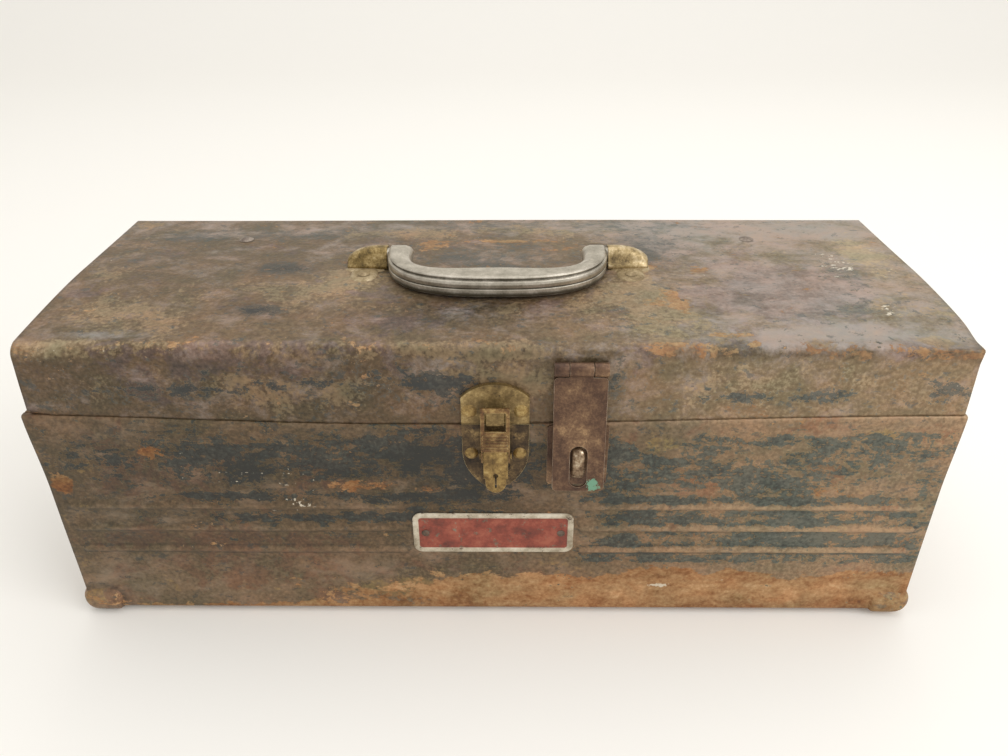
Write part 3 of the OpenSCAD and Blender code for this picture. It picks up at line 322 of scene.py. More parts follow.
base_masks = {
    # Pale: darker on the left and paler on the right, as painted light from the right; rib crests paler, part rubbed
    # wear and part painted highlight; painted shade at the rib feet and in a ring round each foot; the rim paler, part
    # worn edge and part painted highlight.
    "pale": facing * (0.86 * rise(x, -60, 200) - 0.36) + 0.28 * crest - 0.6 * bead_foot_shade
            + 0.3 * rise(z, seam - 2.5, seam - 0.5) - 0.8 * facing * np.exp(-((foot_ring - 13) / 2) ** 2)
            + blotches(x, up, [(-150, 18, 130, 24, 0.5), (150, 62, 90, 22, 0.14), (0, 104, 50, 36, -0.6),
                               (-140, 100, 90, 30, -0.25)]),
    "plum": facing * blotches(x, up, [
        (-160, 56, 90, 7, 0.7), (-190, 104, 60, 30, 0.6), (-110, 106, 60, 20, 0.4), (-130, 28, 120, 18, 0.65),
        (150, 95, 90, 14, 0.3), (190, 80, 40, 8, 0.5), (60, 45, 30, 10, 0.3), (140, 130, 120, 8, 0.3)]),
    "slate": blotches(x, up, [(-60, 112, 80, 30, 0.1)]),
    # Painted sheen: two pale hazes low on the left.
    "painted_sheen": blotches(x, up, [(-215, 28, 24, 22, 0.25), (-70, 30, 80, 12, 0.15)]),
    "paint": (1 - crest) * (facing * (right_paint * (1 - 0.25 * rise(x, 205, 240)) + blotches(x, up, [
        (-49, 116, 42, 24, 0.56), (-105, 114, 42, 24, 0.48), (-160, 112, 42, 24, 0.52), (-215, 112, 30, 22, 0.34),
        (0, 112, 36, 28, 0.62), (-105, 71, 95, 5, 0.62), (-110, 56, 80, 4, 0.25), (-105, 86, 110, 4, 0.5),
        (-20, 80, 40, 10, 0.35), (66, 108, 14, 24, 0.5), (95, 101, 18, 16, 0.3), (132, 102, 22, 18, 0.42),
        (172, 104, 20, 16, 0.36), (216, 114, 24, 12, 0.34), (232, 100, 10, 16, 0.3), (-70, 94, 26, 7, -0.3),
        (65, 126, 10, 10, 0.35), (111, 127, 24, 5, 0.3), (166, 124, 46, 4, 0.45), (213, 128, 36, 4, 0.5)]))
            + on_back * 0.42),
    "rust": facing * (1.05 * low_rust + blotches(x, up, [
        (-50, 14, 46, 12, 0.75), (-120, 3, 120, 5, 0.62), (-234, 93, 5, 4, 1.1), (-181, 117, 7, 4, 1.1),
        (-77, 94, 16, 7, 0.5), (-50, 92, 12, 6, 0.45), (-25, 88, 14, 5, 0.5), (190, 84, 30, 6, 0.25),
        (230, 66, 10, 6, 0.4), (95, 98, 12, 8, 0.25), (178, 92, 14, 7, 0.35), (-222, 10, 24, 10, 0.35)]))
            + 0.4 * rise(up, 5, 1),
    "khaki": facing * blotches(x, up, [
        (150, 17, 110, 8, 0.75), (-50, 18, 30, 6, 0.8), (0, 30, 60, 14, 0.25), (100, 126, 90, 8, 0.2),
        (215, 127, 30, 5, 0.4), (-234, 93, 9, 7, -0.8), (-181, 117, 12, 7, -0.8), (-64, 93, 36, 8, -0.5)]),
    "flake": blotches(x, up, [(97, 21, 14, 3, 0.85), (128, 24, 14, 3, 0.45), (-110, 78, 16, 8, 0.45),
                              (-130, 100, 60, 20, 0.4)]),
    **kept_inside(0.4 + 0.32 * rise(up, 2, 30), 0.45 * rise(up, 25, 0)),
}


def lip_strip(x0, x1, y0, way):
    """A flat strip standing on the ledge: way -1 faces forwards and 1 backwards."""
    heights = (np.array([LIP_H, 2.5, -0.5]) if way < 0 else np.array([-0.5, 2.5, LIP_H])) + seam
    sx, sz = np.meshgrid(np.linspace(x0, x1, 40), heights)
    sy = np.full_like(sx, y0)
    return np.stack([sx, sy, sz - seam_dip(sx, sy, sz, 30)], -1), [grid_faces(3, 40)]


piece("base_wrap_sheet", [
    (base_points, [grid_faces(*x.shape)]),
    lip_strip(-lip_end, LATCH_NOTCH[0], lip_front, -1), lip_strip(LATCH_NOTCH[1], lip_end, lip_front, -1),
    lip_strip(-lip_end, lip_end, lip_back, 1)],
    "base", ["base_wrap"], base_steel, SHEET, base_masks, kept_paint)

# The base's two end panels: flanged sheet pans spot-welded inside the wrap, each with a ledge and a dust lip on top.
# They carry the same worn paint.

FLANGE, PAN_BEND, HUB_IN, WELD = 9.0, 1.2, 14.0, 0.1
SIDES = ((-1, "left"), (1, "right"))


def end_pan(path, hub_from, hub_to, face_at):
    """A pressed pan on one end: for each point of the wrap's path, a flange along X, a small bend, and a ray over
    the flat face to a straight hub line. face_at(y, z) is the face's place along X."""
    out = outward(path)
    ray = np.linspace(0, 1, len(path))[:, None]
    hub = np.array(hub_from) * (1 - ray) + np.array(hub_to) * ray
    turn = np.linspace(0, np.pi / 2, 5)
    curl = np.stack([np.sin(turn) - 1, 1 - np.cos(turn)], 1) * PAN_BEND
    rim = [(-FLANGE, 0), (-0.5 * FLANGE, 0), *curl]
    flats = [(deep, path - out * inset) for deep, inset in rim]
    inner = flats[-1][1]
    flats += [(0.0, inner + (hub - inner) * w) for w in np.linspace(0, 1, 24)[1:]]
    yz = np.stack([f for _, f in flats], 1)
    deep = np.array([d for d, _ in flats])[None, :]
    return np.stack([face_at(yz[..., 0], yz[..., 1]) + deep, yz[..., 0], yz[..., 1]], -1)


inset = SHEET + WELD
base_end_path = bent_path([(front + inset, seam - inset), (front + inset, bottom + inset),
                           (back - inset, bottom + inset), (back - inset, seam - inset)], [2.9, 2.9], [4, 5, 4])


def base_end_face(y, z):
    """The face's place along X: it leans out at the rim and is a little hollow in the middle."""
    hollow = 0.5 * rise(z, bottom + 10, bottom + 60) * rise(seam - z, 8, 40) * np.cos((y - 2) / 58) ** 2
    return right + rim_flare(z) - hollow


end_pan_points = end_pan(base_end_path, (front + HUB_IN, seam - inset), (back - HUB_IN, seam - inset), base_end_face)
rim_end = right + RIM_FLARE
ledge_path = bent_path([(rim_end, seam - inset), (rim_end, seam), (lip_end, seam), (lip_end, seam + LIP_H)],
                       [0.8, 0.4], [0.5, 0.8, 1.5], 4)
ledge_y = np.linspace(lip_front + inset, lip_back - inset, 40)
ledge_points = np.stack(np.broadcast_arrays(ledge_path[:, None, 0], ledge_y[None, :], ledge_path[:, None, 1]), -1)
for side, word in SIDES:
    pan, ledge = end_pan_points * (side, 1, 1), ledge_points * (side, 1, 1)
    py, pz = pan[..., 1], pan[..., 2] - bottom
    piece("base_end_sheet_" + word, [
        (pan, [grid_faces(*pan.shape[:2])[:, ::side]]), (ledge, [grid_faces(*ledge.shape[:2])[:, ::-side]])],
        "base", ["base_end_" + word], base_steel, SHEET, {
            "pale": 0.1 + 0.3 * rise(pz, 40, 0),
            "plum": blotches(py, pz, [(20, 60, 60, 40, 0.4), (-60, 110, 30, 20, 0.4)]),
            "paint": blotches(py, pz, [(-40, 100, 60, 30, 0.55), (40, 80, 50, 40, 0.55), (0, 50, 70, 12, 0.3)]),
            "rust": blotches(py, pz, [(0, 6, 90, 14, 0.8), (-70, 60, 14, 50, 0.3), (70, 30, 20, 40, 0.45)]),
            "khaki": blotches(py, pz, [(-30, 30, 50, 20, 0.4), (60, 120, 30, 15, 0.3), (0, 6, 60, 8, 0.5)]),
            **kept_inside(0.7, 0.45 * rise(pz, 25, 0))}, kept_paint)

# The four corner feet: lumpy bulbs pressed out of the bottom corners, on which the box stands. Rubbed, rusty brown
# steel, with painted shade towards the floor and where each bulb meets the wall, a painted highlight on its upper
# bulge, and the two right-hand feet painted lighter as if lit from the right.

FOOT_L, FOOT_OUT, FOOT_UP = 23.5, 3.0, 17.5


def tube(points, flip=False):
    """A grid of points closed round its columns, with one face over each end; flip turns all its faces over."""
    rows, cols = points.shape[:2]
    ends = np.arange(cols)[None], (rows - 1) * cols + np.arange(cols)[None, ::-1]
    faces = [grid_faces(rows, cols, round_columns=True), *ends]
    return points, [one[:, ::-1] for one in faces] if flip else faces


def signed_power(value, n):
    """|value|^n with the value's sign, which squares off a circle drawn by a cosine and a sine."""
    return np.sign(value) * np.abs(value) ** n


def foot_bulb(side_x, side_y):
    """A lumpy block: |dx|^4.5 + |dy|^4.5 = r^4.5 in plan and r^2.4 + |dz|^2.4 = 1 in height, flat at the floor. What
    would lie inside the box is drawn back to just under the nearest wall."""
    plan, upright = 2 / 4.5, 2 / 2.4
    turn, tip = np.meshgrid(np.linspace(0, 2 * np.pi, 65)[:-1], np.linspace(-np.pi / 2, np.pi / 2, 41)[1:-1])
    half, tall = FOOT_L / 2, (bottom + FOOT_UP) / 2
    lump = (1 + 0.03 * np.sin(3 * turn + 1) * np.cos(tip) + 0.025 * np.sin(5 * tip + 2 * turn)
            + 0.02 * np.sin(7 * turn + 3 * tip))
    ring = half * lump * signed_power(np.cos(tip), upright)
    bx, by = ring * signed_power(np.cos(turn), plan), ring * signed_power(np.sin(turn), plan)
    bz = np.maximum(tall * 1.06 * signed_power(np.sin(tip), upright), -tall)
    reach = half - FOOT_OUT
    deep = np.stack([reach - bx, reach - by, bz + tall - bottom], -1) - 0.4
    push = np.where((deep > 0).all(-1), deep.min(-1), 0)[..., None] * (deep.argmin(-1)[..., None] == np.arange(3))
    bx, by, bz = bx + push[..., 0], by + push[..., 1], bz - push[..., 2]
    middle, reach_y = (front + back) / 2, (back - front) / 2 - reach
    points = np.stack([side_x * (right - reach + bx), middle + side_y * (reach_y + by), bz + tall], -1)
    return tube(points, side_x * side_y > 0)


for side_y, where in ((-1, "front"), (1, "back")):
    for side_x, word in SIDES:
        bulb, faces = foot_bulb(side_x, side_y)
        high = bulb[..., 2]
        piece(f"foot_bulb_{where}_{word}", [(bulb, faces)], "base", [f"foot_{where}_{word}"],
              base_steel, masks={
                  # Pale is painted light: the right-hand feet paler, a highlight on the upper bulge, shade near the
                  # floor and at the top where the bulb meets the wall.
                  "pale": 0.1 + 0.4 * (side_x > 0) + 0.2 * rise(high, 8, 16) - 0.7 * rise(high, 5, 0)
                          - 0.5 * rise(high, 15, 19),
                  "plum": np.full_like(high, 0.5), "rust": 0.35 + 0.25 * (side_x > 0) + 0.2 * rise(high, 9, 0),
                  "khaki": 0.35 * rise(high, 4, 14)})

# The piano hinge behind: two steel leaves rolled round one wire pin, spot-welded to base and lid. Dull and lightly
# rusted.


def tarnished(name, tones, speck, speck_amount, metallic, roughness, blotch_mm, splash=None, places=None):
    """Metal whose finish has gone uneven: a ramp of tones, dark to light, over cloudy tarnish and fine grain, with
    matt darker specks; the light tones stay glossier. A splash is (centre in mm, radius in mm, colour) of a paint
    drop. The grain of plating is far under a pixel, so it is drawn at 1.2 mm."""
    material, t, spot = new_material(name)
    cloud, fine, dots = (
        add(t, "TexNoise", {"Vector": spot, "Scale": MM / size, "Detail": 7, "Roughness": 0.68})[0]
        for size in (blotch_mm, 1.2, 2.6))
    tone = add(t, "Math", {0: fine, 1: 0.35, 2: cloud}, operation="MULTIPLY_ADD")[0]
    spread = add(t, "MapRange", {"Value": tone, 1: 0.48, 2: 0.87})[0]
    places = places or {3: (0.1, 0.5, 0.9), 4: (0, 0.4, 0.7, 1)}[len(tones)]
    colour = add(t, "ValToRGB", {0: spread}, list(zip(places, tones)))[0]
    mask = add(t, "MapRange", {"Value": dots, 1: 0.66 - speck_amount, 2: 0.72 - speck_amount},
               interpolation_type="SMOOTHSTEP")[0]
    colour = add(t, "Mix", {0: mask, 6: colour, 7: linear(speck)}, data_type="RGBA")[2]
    if splash:
        away = add(t, "VectorMath", {0: spot, 1: np.array(splash[0]) / MM}, operation="DISTANCE")["Value"]
        torn = add(t, "Math", {0: dots, 1: splash[1] / 200, 2: away}, operation="MULTIPLY_ADD")[0]
        drop = add(t, "MapRange", {"Value": torn, 1: splash[1] * 0.0036, 2: splash[1] * 0.0034})[0]
        colour = add(t, "Mix", {0: drop, 6: colour, 7: linear(splash[2])}, data_type="RGBA")[2]
    gloss = add(t, "Math", {0: spread, 1: -0.18, 2: roughness + 0.1}, operation="MULTIPLY_ADD")[0]
    rough = add(t, "Math", {0: mask, 1: 0.3, 2: gloss}, operation="MULTIPLY_ADD", use_clamp=True)[0]
    metal = add(t, "Math", {0: mask, 1: -0.7 * metallic, 2: metallic}, operation="MULTIPLY_ADD")[0]
    height = add(t, "Math", {0: mask, 1: -0.4, 2: fine}, operation="MULTIPLY_ADD")[0]
    surface(t, colour, metal, rough, height, 0.2, 0.3)
    return material


def finish_nodes(material, edge, *names, rubbed=None):
    """Gives CAD nodes a finish. Their loose triangles are joined to whole faces, and their sharp edges are broken by
    a small bevel, which takes the finish of rubbed edges where there is one."""
    for name in names:
        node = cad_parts[name]
        if not node.material_slots:
            node.data.materials.append(material)
        for place in node.material_slots:
            place.material = material
        node.modifiers.new("joined", "WELD").merge_threshold = 2e-6
        if edge:
            whole = node.modifiers.new("whole_faces", "DECIMATE")
            whole.decimate_type, whole.angle_limit = "DISSOLVE", np.radians(1)
            broken = node.modifiers.new("broken_edge", "BEVEL")
            broken.width, broken.segments, broken.limit_method = edge / MM, 2, "ANGLE"
            broken.angle_limit = np.radians(40)
            if rubbed:
                node.data.materials.append(rubbed)
                broken.material = len(node.material_slots) - 1


LEAF_EDGE = 0.2
# Mild steel left bare: dull grey-brown with rust freckles.
dull_steel = tarnished("dull_rusted_steel", ("493d34", "665649", "81746a"), "7a4a2c", 0.06, 0.55, 0.5, 14)
finish_nodes(dull_steel, LEAF_EDGE, "hinge_leaf_base", "hinge_leaf_lid")
finish_nodes(dull_steel, 0, "hinge_pin")

# The lift-out tray: a folded steel pan with a rolled rim and a riveted strap to lift it by, on two angle rests riveted
# to the base's ends.

EDGE = 0.3
# Oxide-red primer paint: matt, scuffed dark where tools lay.
tray_paint = tarnished("oxide_red_tray_paint", ("4a2620", "6e3a2f", "8a5444"), "2f2825", 0.05, 0.05, 0.5, 30)
finish_nodes(tray_paint, EDGE, "tray_pan", "tray_strap")
finish_nodes(dull_steel, EDGE, "tray_rest_left", "tray_rest_right")
finish_nodes(dull_steel, 0, "tray_rest_rivets", "tray_strap_rivets")

# The name plate: a blank pressed plate with a raised border round a plain field, held by two rivets in the middle of
# the ribs.

(plate_left, _, plate_low), (plate_right, _, plate_high) = np.array(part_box("name_plate")) * MM
PLATE_CORNER, BORDER = 5.0, 3.4


def rounded_rings(half_a, half_b, corner, rows):
    """Rounded rectangles, one for each (inset, height) of the rows: quarter arcs joined by straight sides, as an
    array of (a, b, height)."""
    turn = np.linspace(0, 2 * np.pi, 81)[:-1]
    inset, height = np.array(rows, float).T[:, :, None, None]
    bend = np.maximum(corner - inset, 0.5)
    way = np.stack([np.cos(turn), np.sin(turn)], 1)
    flat = (np.array([half_a, half_b]) - inset - bend) * np.sign(way) + bend * way
    return np.concatenate([flat, np.broadcast_to(height, flat.shape[:2] + (1,))], -1)


plate_rows = [(0, 0.0), (0, 0.5), (0.25, 0.78), (0.7, 0.95), (BORDER - 0.7, 0.95), (BORDER - 0.2, 0.75),
              (BORDER, 0.55), (BORDER + 0.3, 0.5), (8, 0.62), (12, 0.66)]
rings = rounded_rings((plate_right - plate_left) / 2, (plate_high - plate_low) / 2, PLATE_CORNER, plate_rows)
plate_points = np.stack([rings[..., 0] + (plate_left + plate_right) / 2, front - rings[..., 2],
                         rings[..., 1] + (plate_low + plate_high) / 2], -1)

# Vitreous enamel on steel: satin red field and cream border, browned by dirt and chipped to dark metal.
enamel, t, spot = new_material("worn_red_and_cream_enamel")
border = add(t, "Attribute", attribute_name="border")["Fac"]
cloud = add(t, "TexNoise", {"Vector": spot, "Scale": MM / 12, "Detail": 9, "Roughness": 0.72})[0]
red = add(t, "ValToRGB", {0: cloud}, [(0.36, "5c281c"), (0.5, "883c2a"), (0.62, "9f553f")])[0]
cream = add(t, "ValToRGB", {0: cloud}, [(0.36, "8d7f68"), (0.5, "bcb09a"), (0.62, "d3cab7")])[0]
two = add(t, "Mix", {0: border, 6: red, 7: cream}, data_type="RGBA")[2]
chips = add(t, "TexNoise", {"Vector": spot, "Scale": MM / 5, "Detail": 9, "Roughness": 0.75})[0]
chipped = add(t, "MapRange", {"Value": chips, 1: 0.58, 2: 0.6}, interpolation_type="SMOOTHSTEP")[0]
metal = add(t, "ValToRGB", {0: cloud}, [(0.36, "4a3a2f"), (0.55, "7d6a58"), (0.65, "9c8d7c")])[0]
colour = add(t, "Mix", {0: chipped, 6: two, 7: metal}, data_type="RGBA")[2]
rough = add(t, "Math", {0: chipped, 1: 0.2, 2: 0.42}, operation="MULTIPLY_ADD")[0]
surface(t, colour, 0.0, rough, chipped, 0.4, 0.3, invert=True)
on_border = (np.array(plate_rows)[:, 0] < BORDER).astype(float)
piece("name_plate_blank", [tube(plate_points, True)], "base", ["name_plate"], enamel,
      masks={"border": np.repeat(on_border[:, None], rings.shape[1], 1)})
finish_nodes(dull_steel, 0, "name_plate_rivets")

# The draw latch: pressed shield and lever on the base, link between them and hooked strike on the lid, on solid
# rivets and wire pins. The brass plating is worn dull, brown in the hollows and bright on rubbed edges.

# Brass rubbed back to bright metal along the edges.
rubbed_brass = tarnished("rubbed_brass_edge", ("9c8552", "c2ab74", "e2d2a4"), "6b5738", 0.0, 0.7, 0.34, 6)
# Tarnish on the same plating: each pressing has dulled to its own tone, from olive and ochre to brown.
latch_brass = {}
for part, tone, tones, *finish in (
        ("strike", "olive", ("493b24", "745f3a", "937c50", "b8a374"), "4a3a26", 0.03, 0.55, 0.45, 9),
        ("shield", "brown", ("211911", "433422", "634f33", "92794f"), "2a2018", 0.05, 0.5, 0.46, 8),
        ("lever", "ochre", ("4f3e25", "7d643b", "9c814d", "c0a873"), "4f3b22", 0.02, 0.6, 0.42, 7),
        ("link", "red_brown", ("3f2d1d", "67492d", "886b42", "b0945f"), "3b291a", 0.04, 0.55, 0.44, 6)):
    latch_brass[part] = tarnished(tone + "_brass_plating", tones, *finish)
    finish_nodes(latch_brass[part], EDGE, "latch_" + part, rubbed=rubbed_brass)
finish_nodes(latch_brass["lever"], 0, "latch_shield_rivets", "latch_strike_rivets", "latch_lever_pin",
             "latch_link_pin")

# The hasp: a leaf riveted to the lid, a slotted strap swinging on its pin, and a staple bent from oval bar on a plate
# riveted to the base. A padlock goes through the staple.

HASP_DROP, HASP_DROP_R = (52.6, -95.0, 105.9), 2.9
BAR_W, BAR_T, BAR_BEND = 7.0, 4.0, 5.2

# Cold-rolled steel gone brown in soft clouds, rubbed pale on its edges, with a drop of green paint on the strap.
hasp_steel = tarnished("brown_hasp_steel", ("2f2018", "553c2c", "73573f", "a3835e"), "352921", 0.0, 0.4, 0.45, 18,
                       (HASP_DROP, HASP_DROP_R, "6f9a80"))
hasp_edge = tarnished("rubbed_hasp_edge", ("6b5645", "927d69", "b8a793"), "4a382c", 0.0, 0.6, 0.36, 6)
finish_nodes(hasp_steel, EDGE, "hasp_strap", "hasp_leaf", "staple_plate", rubbed=hasp_edge)
finish_nodes(hasp_steel, 0, "hasp_leaf_rivets", "staple_plate_rivets", "hasp_pin")

bar_from, bar_to = np.array(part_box("hasp_staple")) * MM
bar_low, bar_high, bar_front, bar_back = (
    bar_from[2] + BAR_T / 2, bar_to[2] - BAR_T / 2, bar_from[1] + BAR_T / 2, bar_to[1])
staple_path = bent_path([(bar_back, bar_high), (bar_front, bar_high), (bar_front, bar_low), (bar_back, bar_low)],
                        [BAR_BEND, BAR_BEND], [1, 1, 1], 14)
angle = np.linspace(0, 2 * np.pi, 33)[:-1]
across, proud = (signed_power(c, 0.8) for c in (np.cos(angle), np.sin(angle)))
bar_yz = staple_path[:, None] + outward(staple_path)[:, None] * (BAR_T / 2 * proud)[None, :, None]
bar_x = np.broadcast_to(((bar_from[0] + bar_to[0]) / 2 + BAR_W / 2 * across)[None, :, None], bar_yz.shape[:2] + (1,))
# Steel bar polished by the strap: brown in the hollows, bright where it rubs.
staple_steel = tarnished("rubbed_staple_steel", ("3a2a1d", "654f3a", "917a60", "d2c2a8"), "4a3628", 0.02,
                         0.6, 0.3, 5)
piece("hasp_staple_bar", [tube(np.concatenate([bar_x, bar_yz], -1), True)], "base", ["hasp_staple"],
      staple_steel)

# The lid's wrap: front, top and back of one sheet, bent round in front and tight behind, with its front right corner
# knocked to a sharp crease. Its top has gone plum and slate, with khaki stains round the handle and cream flecks.

(_, lid_front, lid_low), (lid_right, lid_back, lid_top) = np.array(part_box("lid_wrap")) * MM
LID_BEND, LID_BACK_BEND, DROOP, DROOP_POWER, DENT = 6.0, 3.5, 5.0, 1.6, 2.0
LEAN_LOW, LEAN_TOP, LEAN_BACK = (0.2, -1.9), (2.0, -1.2), 0.5

lid_steel = weathered_sheet(
    "browned_steel_lid_with_khaki_stain", drag=1.4,
    brown=[(0, "3c3020"), (0.35, "62503a"), (0.65, "806d53"), (1, "ab9778")],
    plum=[(0, "3a2f2b"), (0.35, "5d4d45"), (0.65, "7e6c63"), (1, "aa998f")],
    slate=[(0, "343734"), (0.5, "525654"), (1, "747672")], painted_sheen="a6a19f",
    khaki=[(0, "5f503a"), (0.5, "8d7a5e"), (1, "b8a688")], cream="dcd2bf",
    rust=[(0, "66462f"), (0.3, "805f42"), (0.5, "906f4d"), (0.75, "a48560"), (1, "bfa07a")],
    paint=[(0.15, "23282a"), (0.5, "3a3f3d"), (0.85, "565b57")])


def end_lean(x, y, z):
    """How far the lid's ends lean in, (left, right): from low to top in proportion to the height in front, and from
    nothing to the same lean on both ends at the back."""
    high = np.clip((z - lid_low) / (lid_top - lid_low), 0, 1)
    deep = np.clip((y - lid_front) / (lid_back - lid_front), 0, 1)
    low, top = (np.where(x < 0, *pair) for pair in (LEAN_LOW, LEAN_TOP))
    return (1 - deep) * (low + (top - low) * high) + deep * LEAN_BACK * high


def droop(x, y, z):
    """How far the lid's top has sunk: by (y / front)^1.6 from the middle to the front, and in a soft dent behind the
    knocked corner, fading out down the skirt."""
    dent = DENT * np.exp(-((x - lid_right) / 32) ** 2 - ((y - lid_front - 6) / 12) ** 2)
    return (DROOP * np.clip(y / lid_front, 0, 1) ** DROOP_POWER + dent) * rise(z, lid_top - 32, lid_top - LID_BEND)


lid_path = bent_path([(lid_back, lid_low), (lid_back, lid_top), (lid_front, lid_top), (lid_front, lid_low)],
                     [LID_BACK_BEND, LID_BEND], [2.4, 1.8, 1.3], 12)
lid_out = outward(lid_path)
lid_columns = np.linspace(-lid_right, lid_right, 175)
x, y = np.meshgrid(lid_columns, lid_path[:, 0])
z = np.repeat(lid_path[:, 1:], len(lid_columns), 1)
on_top = rise(z, lid_top - 3, lid_top - 0.2)
on_skirt = rise(y, lid_front + 7, lid_front + 2) * (1 - on_top)
sag = on_top * (0.3 * np.sin(x / 67 + 1) * np.sin((y + 20) / 45) + blotches(x, y, [
    (195, -70, 30, 6, -0.5), (150, -60, 30, 12, 0.4), (-190, -50, 40, 20, -0.5), (120, 20, 50, 30, -0.6)]))
sag = sag + on_skirt * 0.3 * np.sin(x / 53 + z / 29) * rise(z, lid_low + 3, lid_low + 16)
round_y, round_z = (y - lid_front) / LID_BEND - 1, (z - lid_top) / LID_BEND + 1
corner_out = np.where((round_y < 0) & (round_z > 0), 1 / np.maximum(np.maximum(-round_y, round_z), 0.5) - 1, 0)
corner_out = corner_out * np.exp(-((x - lid_right) / 42) ** 2) * LID_BEND
tip = np.exp(-((x - lid_right) / 9) ** 2) * rise(y, lid_front + 9, lid_front) * rise(z, lid_top - 9, lid_top)
lift = (2.4 * np.exp(-((x + lid_right) / 7) ** 2) * rise(z, lid_low + 14, lid_low)
        * rise(y, lid_front + 12, lid_front + 2))
lid_points = np.stack([
    x * (1 - end_lean(x, y, z) / lid_right) + 0.8 * tip,
    y + sag * lid_out[:, :1] + corner_out * round_y,
    z + sag * lid_out[:, 1:] + corner_out * round_z - seam_dip(x, y, z, 36) - droop(x, y, z) + lift], -1)

stain_edge = (np.interp(-y, [-14, 19, 41, 63, 77], [92, 92, 105, 116, 135])
              + 2.5 * np.sin(y / 6) + 1.5 * np.sin(y / 2.3))
stain = rise(stain_edge - x, -1.5, 2.5) * rise(x, 60, 88) * rise(y, 16, 6) * on_top
up = z - bottom
bend = rise(y, lid_front + 10, lid_front + 3) * rise(z, lid_top - 9, lid_top - 3)
lid_masks = {
    # Pale on the lid: the top paler to the right and the skirt darker on the left and paler on the right, as painted
    # light; the two dark blotches just in front of the handle, with the plum blotch there, are the handle's painted
    # shadow.
    "pale": on_top * (-0.16 + 0.55 * rise(x, -60, 180) + blotches(x, y, [
        (142, -19, 30, 30, -0.2), (-122, 5, 16, 7, -0.8), (-125, -47, 16, 7, -0.7), (-25, -52, 50, 14, -0.35),
        (-5, -43, 50, 7, -0.45), (0, 70, 220, 16, 0.2), (88, 30, 30, 20, -0.4), (-82, -16, 34, 26, 0.4),
        (-200, -50, 30, 16, 0.25), (220, 30, 16, 40, 0.4)]))
            + on_skirt * (-0.52 + 0.93 * rise(x, -60, 160))
            + bend * (-0.2 + 0.4 * rise(x, 60, -120) - 0.42 * rise(x, 60, 120) + 0.6 * rise(x, -180, -235)),
    "plum": on_top * blotches(x, y, [
        (155, -25, 50, 38, 0.85), (-140, 38, 40, 12, 0.5), (-140, -25, 50, 14, 0.5), (-25, -55, 60, 14, 0.4),
        (150, 50, 40, 20, 0.5)])
            + on_skirt * blotches(x, up, [(-60, 168, 150, 6, 0.25), (130, 150, 120, 24, -0.35)]) + 0.25 * bend,
    "slate": on_top * blotches(x, y, [
        (-195, 57, 34, 10, 0.6), (-212, 22, 24, 14, 0.5), (-120, 60, 60, 10, 0.5), (-122, 5, 18, 8, 0.8),
        (-125, -47, 18, 8, 0.75), (95, 40, 34, 26, 0.75), (0, 20, 50, 26, 0.6), (60, 75, 120, 9, 0.5),
        (86, -35, 20, 20, 0.4), (200, 0, 12, 30, 0.5), (190, -45, 20, 10, 0.5)])
            + on_skirt * blotches(x, up, [
        (-180, 156, 60, 10, 0.12), (-60, 158, 60, 10, 0.15), (60, 160, 14, 16, 0.5)]),
    # Painted sheen: a haze paler to the right and towards the back, and painted highlights on the front bend at each
    # end.
    "painted_sheen": on_top * (0.5 * rise(x, 30, 150) + 0.3 * rise(y, 40, 80) + blotches(x, y, [
        (-198, -72, 26, 4, 0.9), (178, -70, 36, 5, 1.0), (150, 62, 80, 14, 0.3), (-60, 70, 80, 10, 0.25)])),
    "khaki": on_top * (blotches(x, y, [
        (-82, -16, 34, 26, 0.65), (-205, -50, 28, 20, 0.55), (-217, 0, 14, 40, 0.5), (-10, 62, 90, 14, 0.4),
        (-229, 78, 14, 10, 1.0), (-150, -62, 60, 12, 0.4), (60, -34, 30, 44, 0.5), (220, 30, 16, 40, 0.7),
        (218, -76, 14, 5, 0.9), (205, -40, 14, 10, 0.5), (-60, 60, 30, 10, 0.5), (0, -42, 60, 14, 0.3)])
                + 0.5 * stain)
            + on_skirt * blotches(x, up, [(124, 171, 4, 3, 1.0), (-140, 162, 110, 14, 0.5), (0, 162, 30, 12, 0.5),
                                          (160, 160, 90, 14, 0.3)]) + 0.5 * bend * rise(x, 60, -20),
    "rust": on_top * (blotches(x, y, [
        (10, 47, 30, 4, 0.7), (-38, 38, 10, 10, 0.45), (45, 36, 14, 8, 0.45), (-150, 42, 12, 4, 0.5),
        (114, -71, 8, 3, 0.9), (118, 4, 8, 8, 0.55), (95, -36, 12, 12, 0.45), (-90, -79, 120, 4, 0.2)])
                + 0.42 * stain * rise(stain_edge - x, 12, 3)) + bend * (0.08 + 0.34 * rise(x, 30, 110)),
    "paint": on_skirt * blotches(x, up, [
        (-199, 154, 34, 5, 0.5), (-157, 157, 20, 6, 0.45), (-96, 160, 44, 9, 0.4), (-24, 161, 20, 9, 0.75),
        (121, 151, 20, 5, 0.52), (166, 151, 24, 5, 0.52), (228, 154, 14, 8, 0.62), (62, 163, 6, 14, 0.6)])
            + on_top * blotches(x, y, [(-122, 5, 14, 6, 0.4), (-125, -47, 14, 6, 0.4), (196, -10, 14, 26, 0.26),
                                       (200, -45, 12, 8, 0.32), (130, 8, 16, 8, 0.25)]),
    "flake": on_top * blotches(x, y, [(200, 10, 12, 26, 0.66), (207, -46, 10, 8, 0.7), (225, 0, 10, 12, 0.5)])
            + (1 - on_top) * blotches(x, up, [(139, 182, 25, 3, 0.5), (-215, 181, 26, 3, 0.45)]),
    **kept_inside(
        0.74 + blotches(x, y, [(-150, 30, 30, 20, -0.35), (90, -40, 24, 14, -0.4), (180, 50, 30, 20, -0.3)]),
        0.5 * rise(z, lid_low + 9, lid_low) + blotches(x, y, [(90, -40, 12, 6, 0.5)])),
}
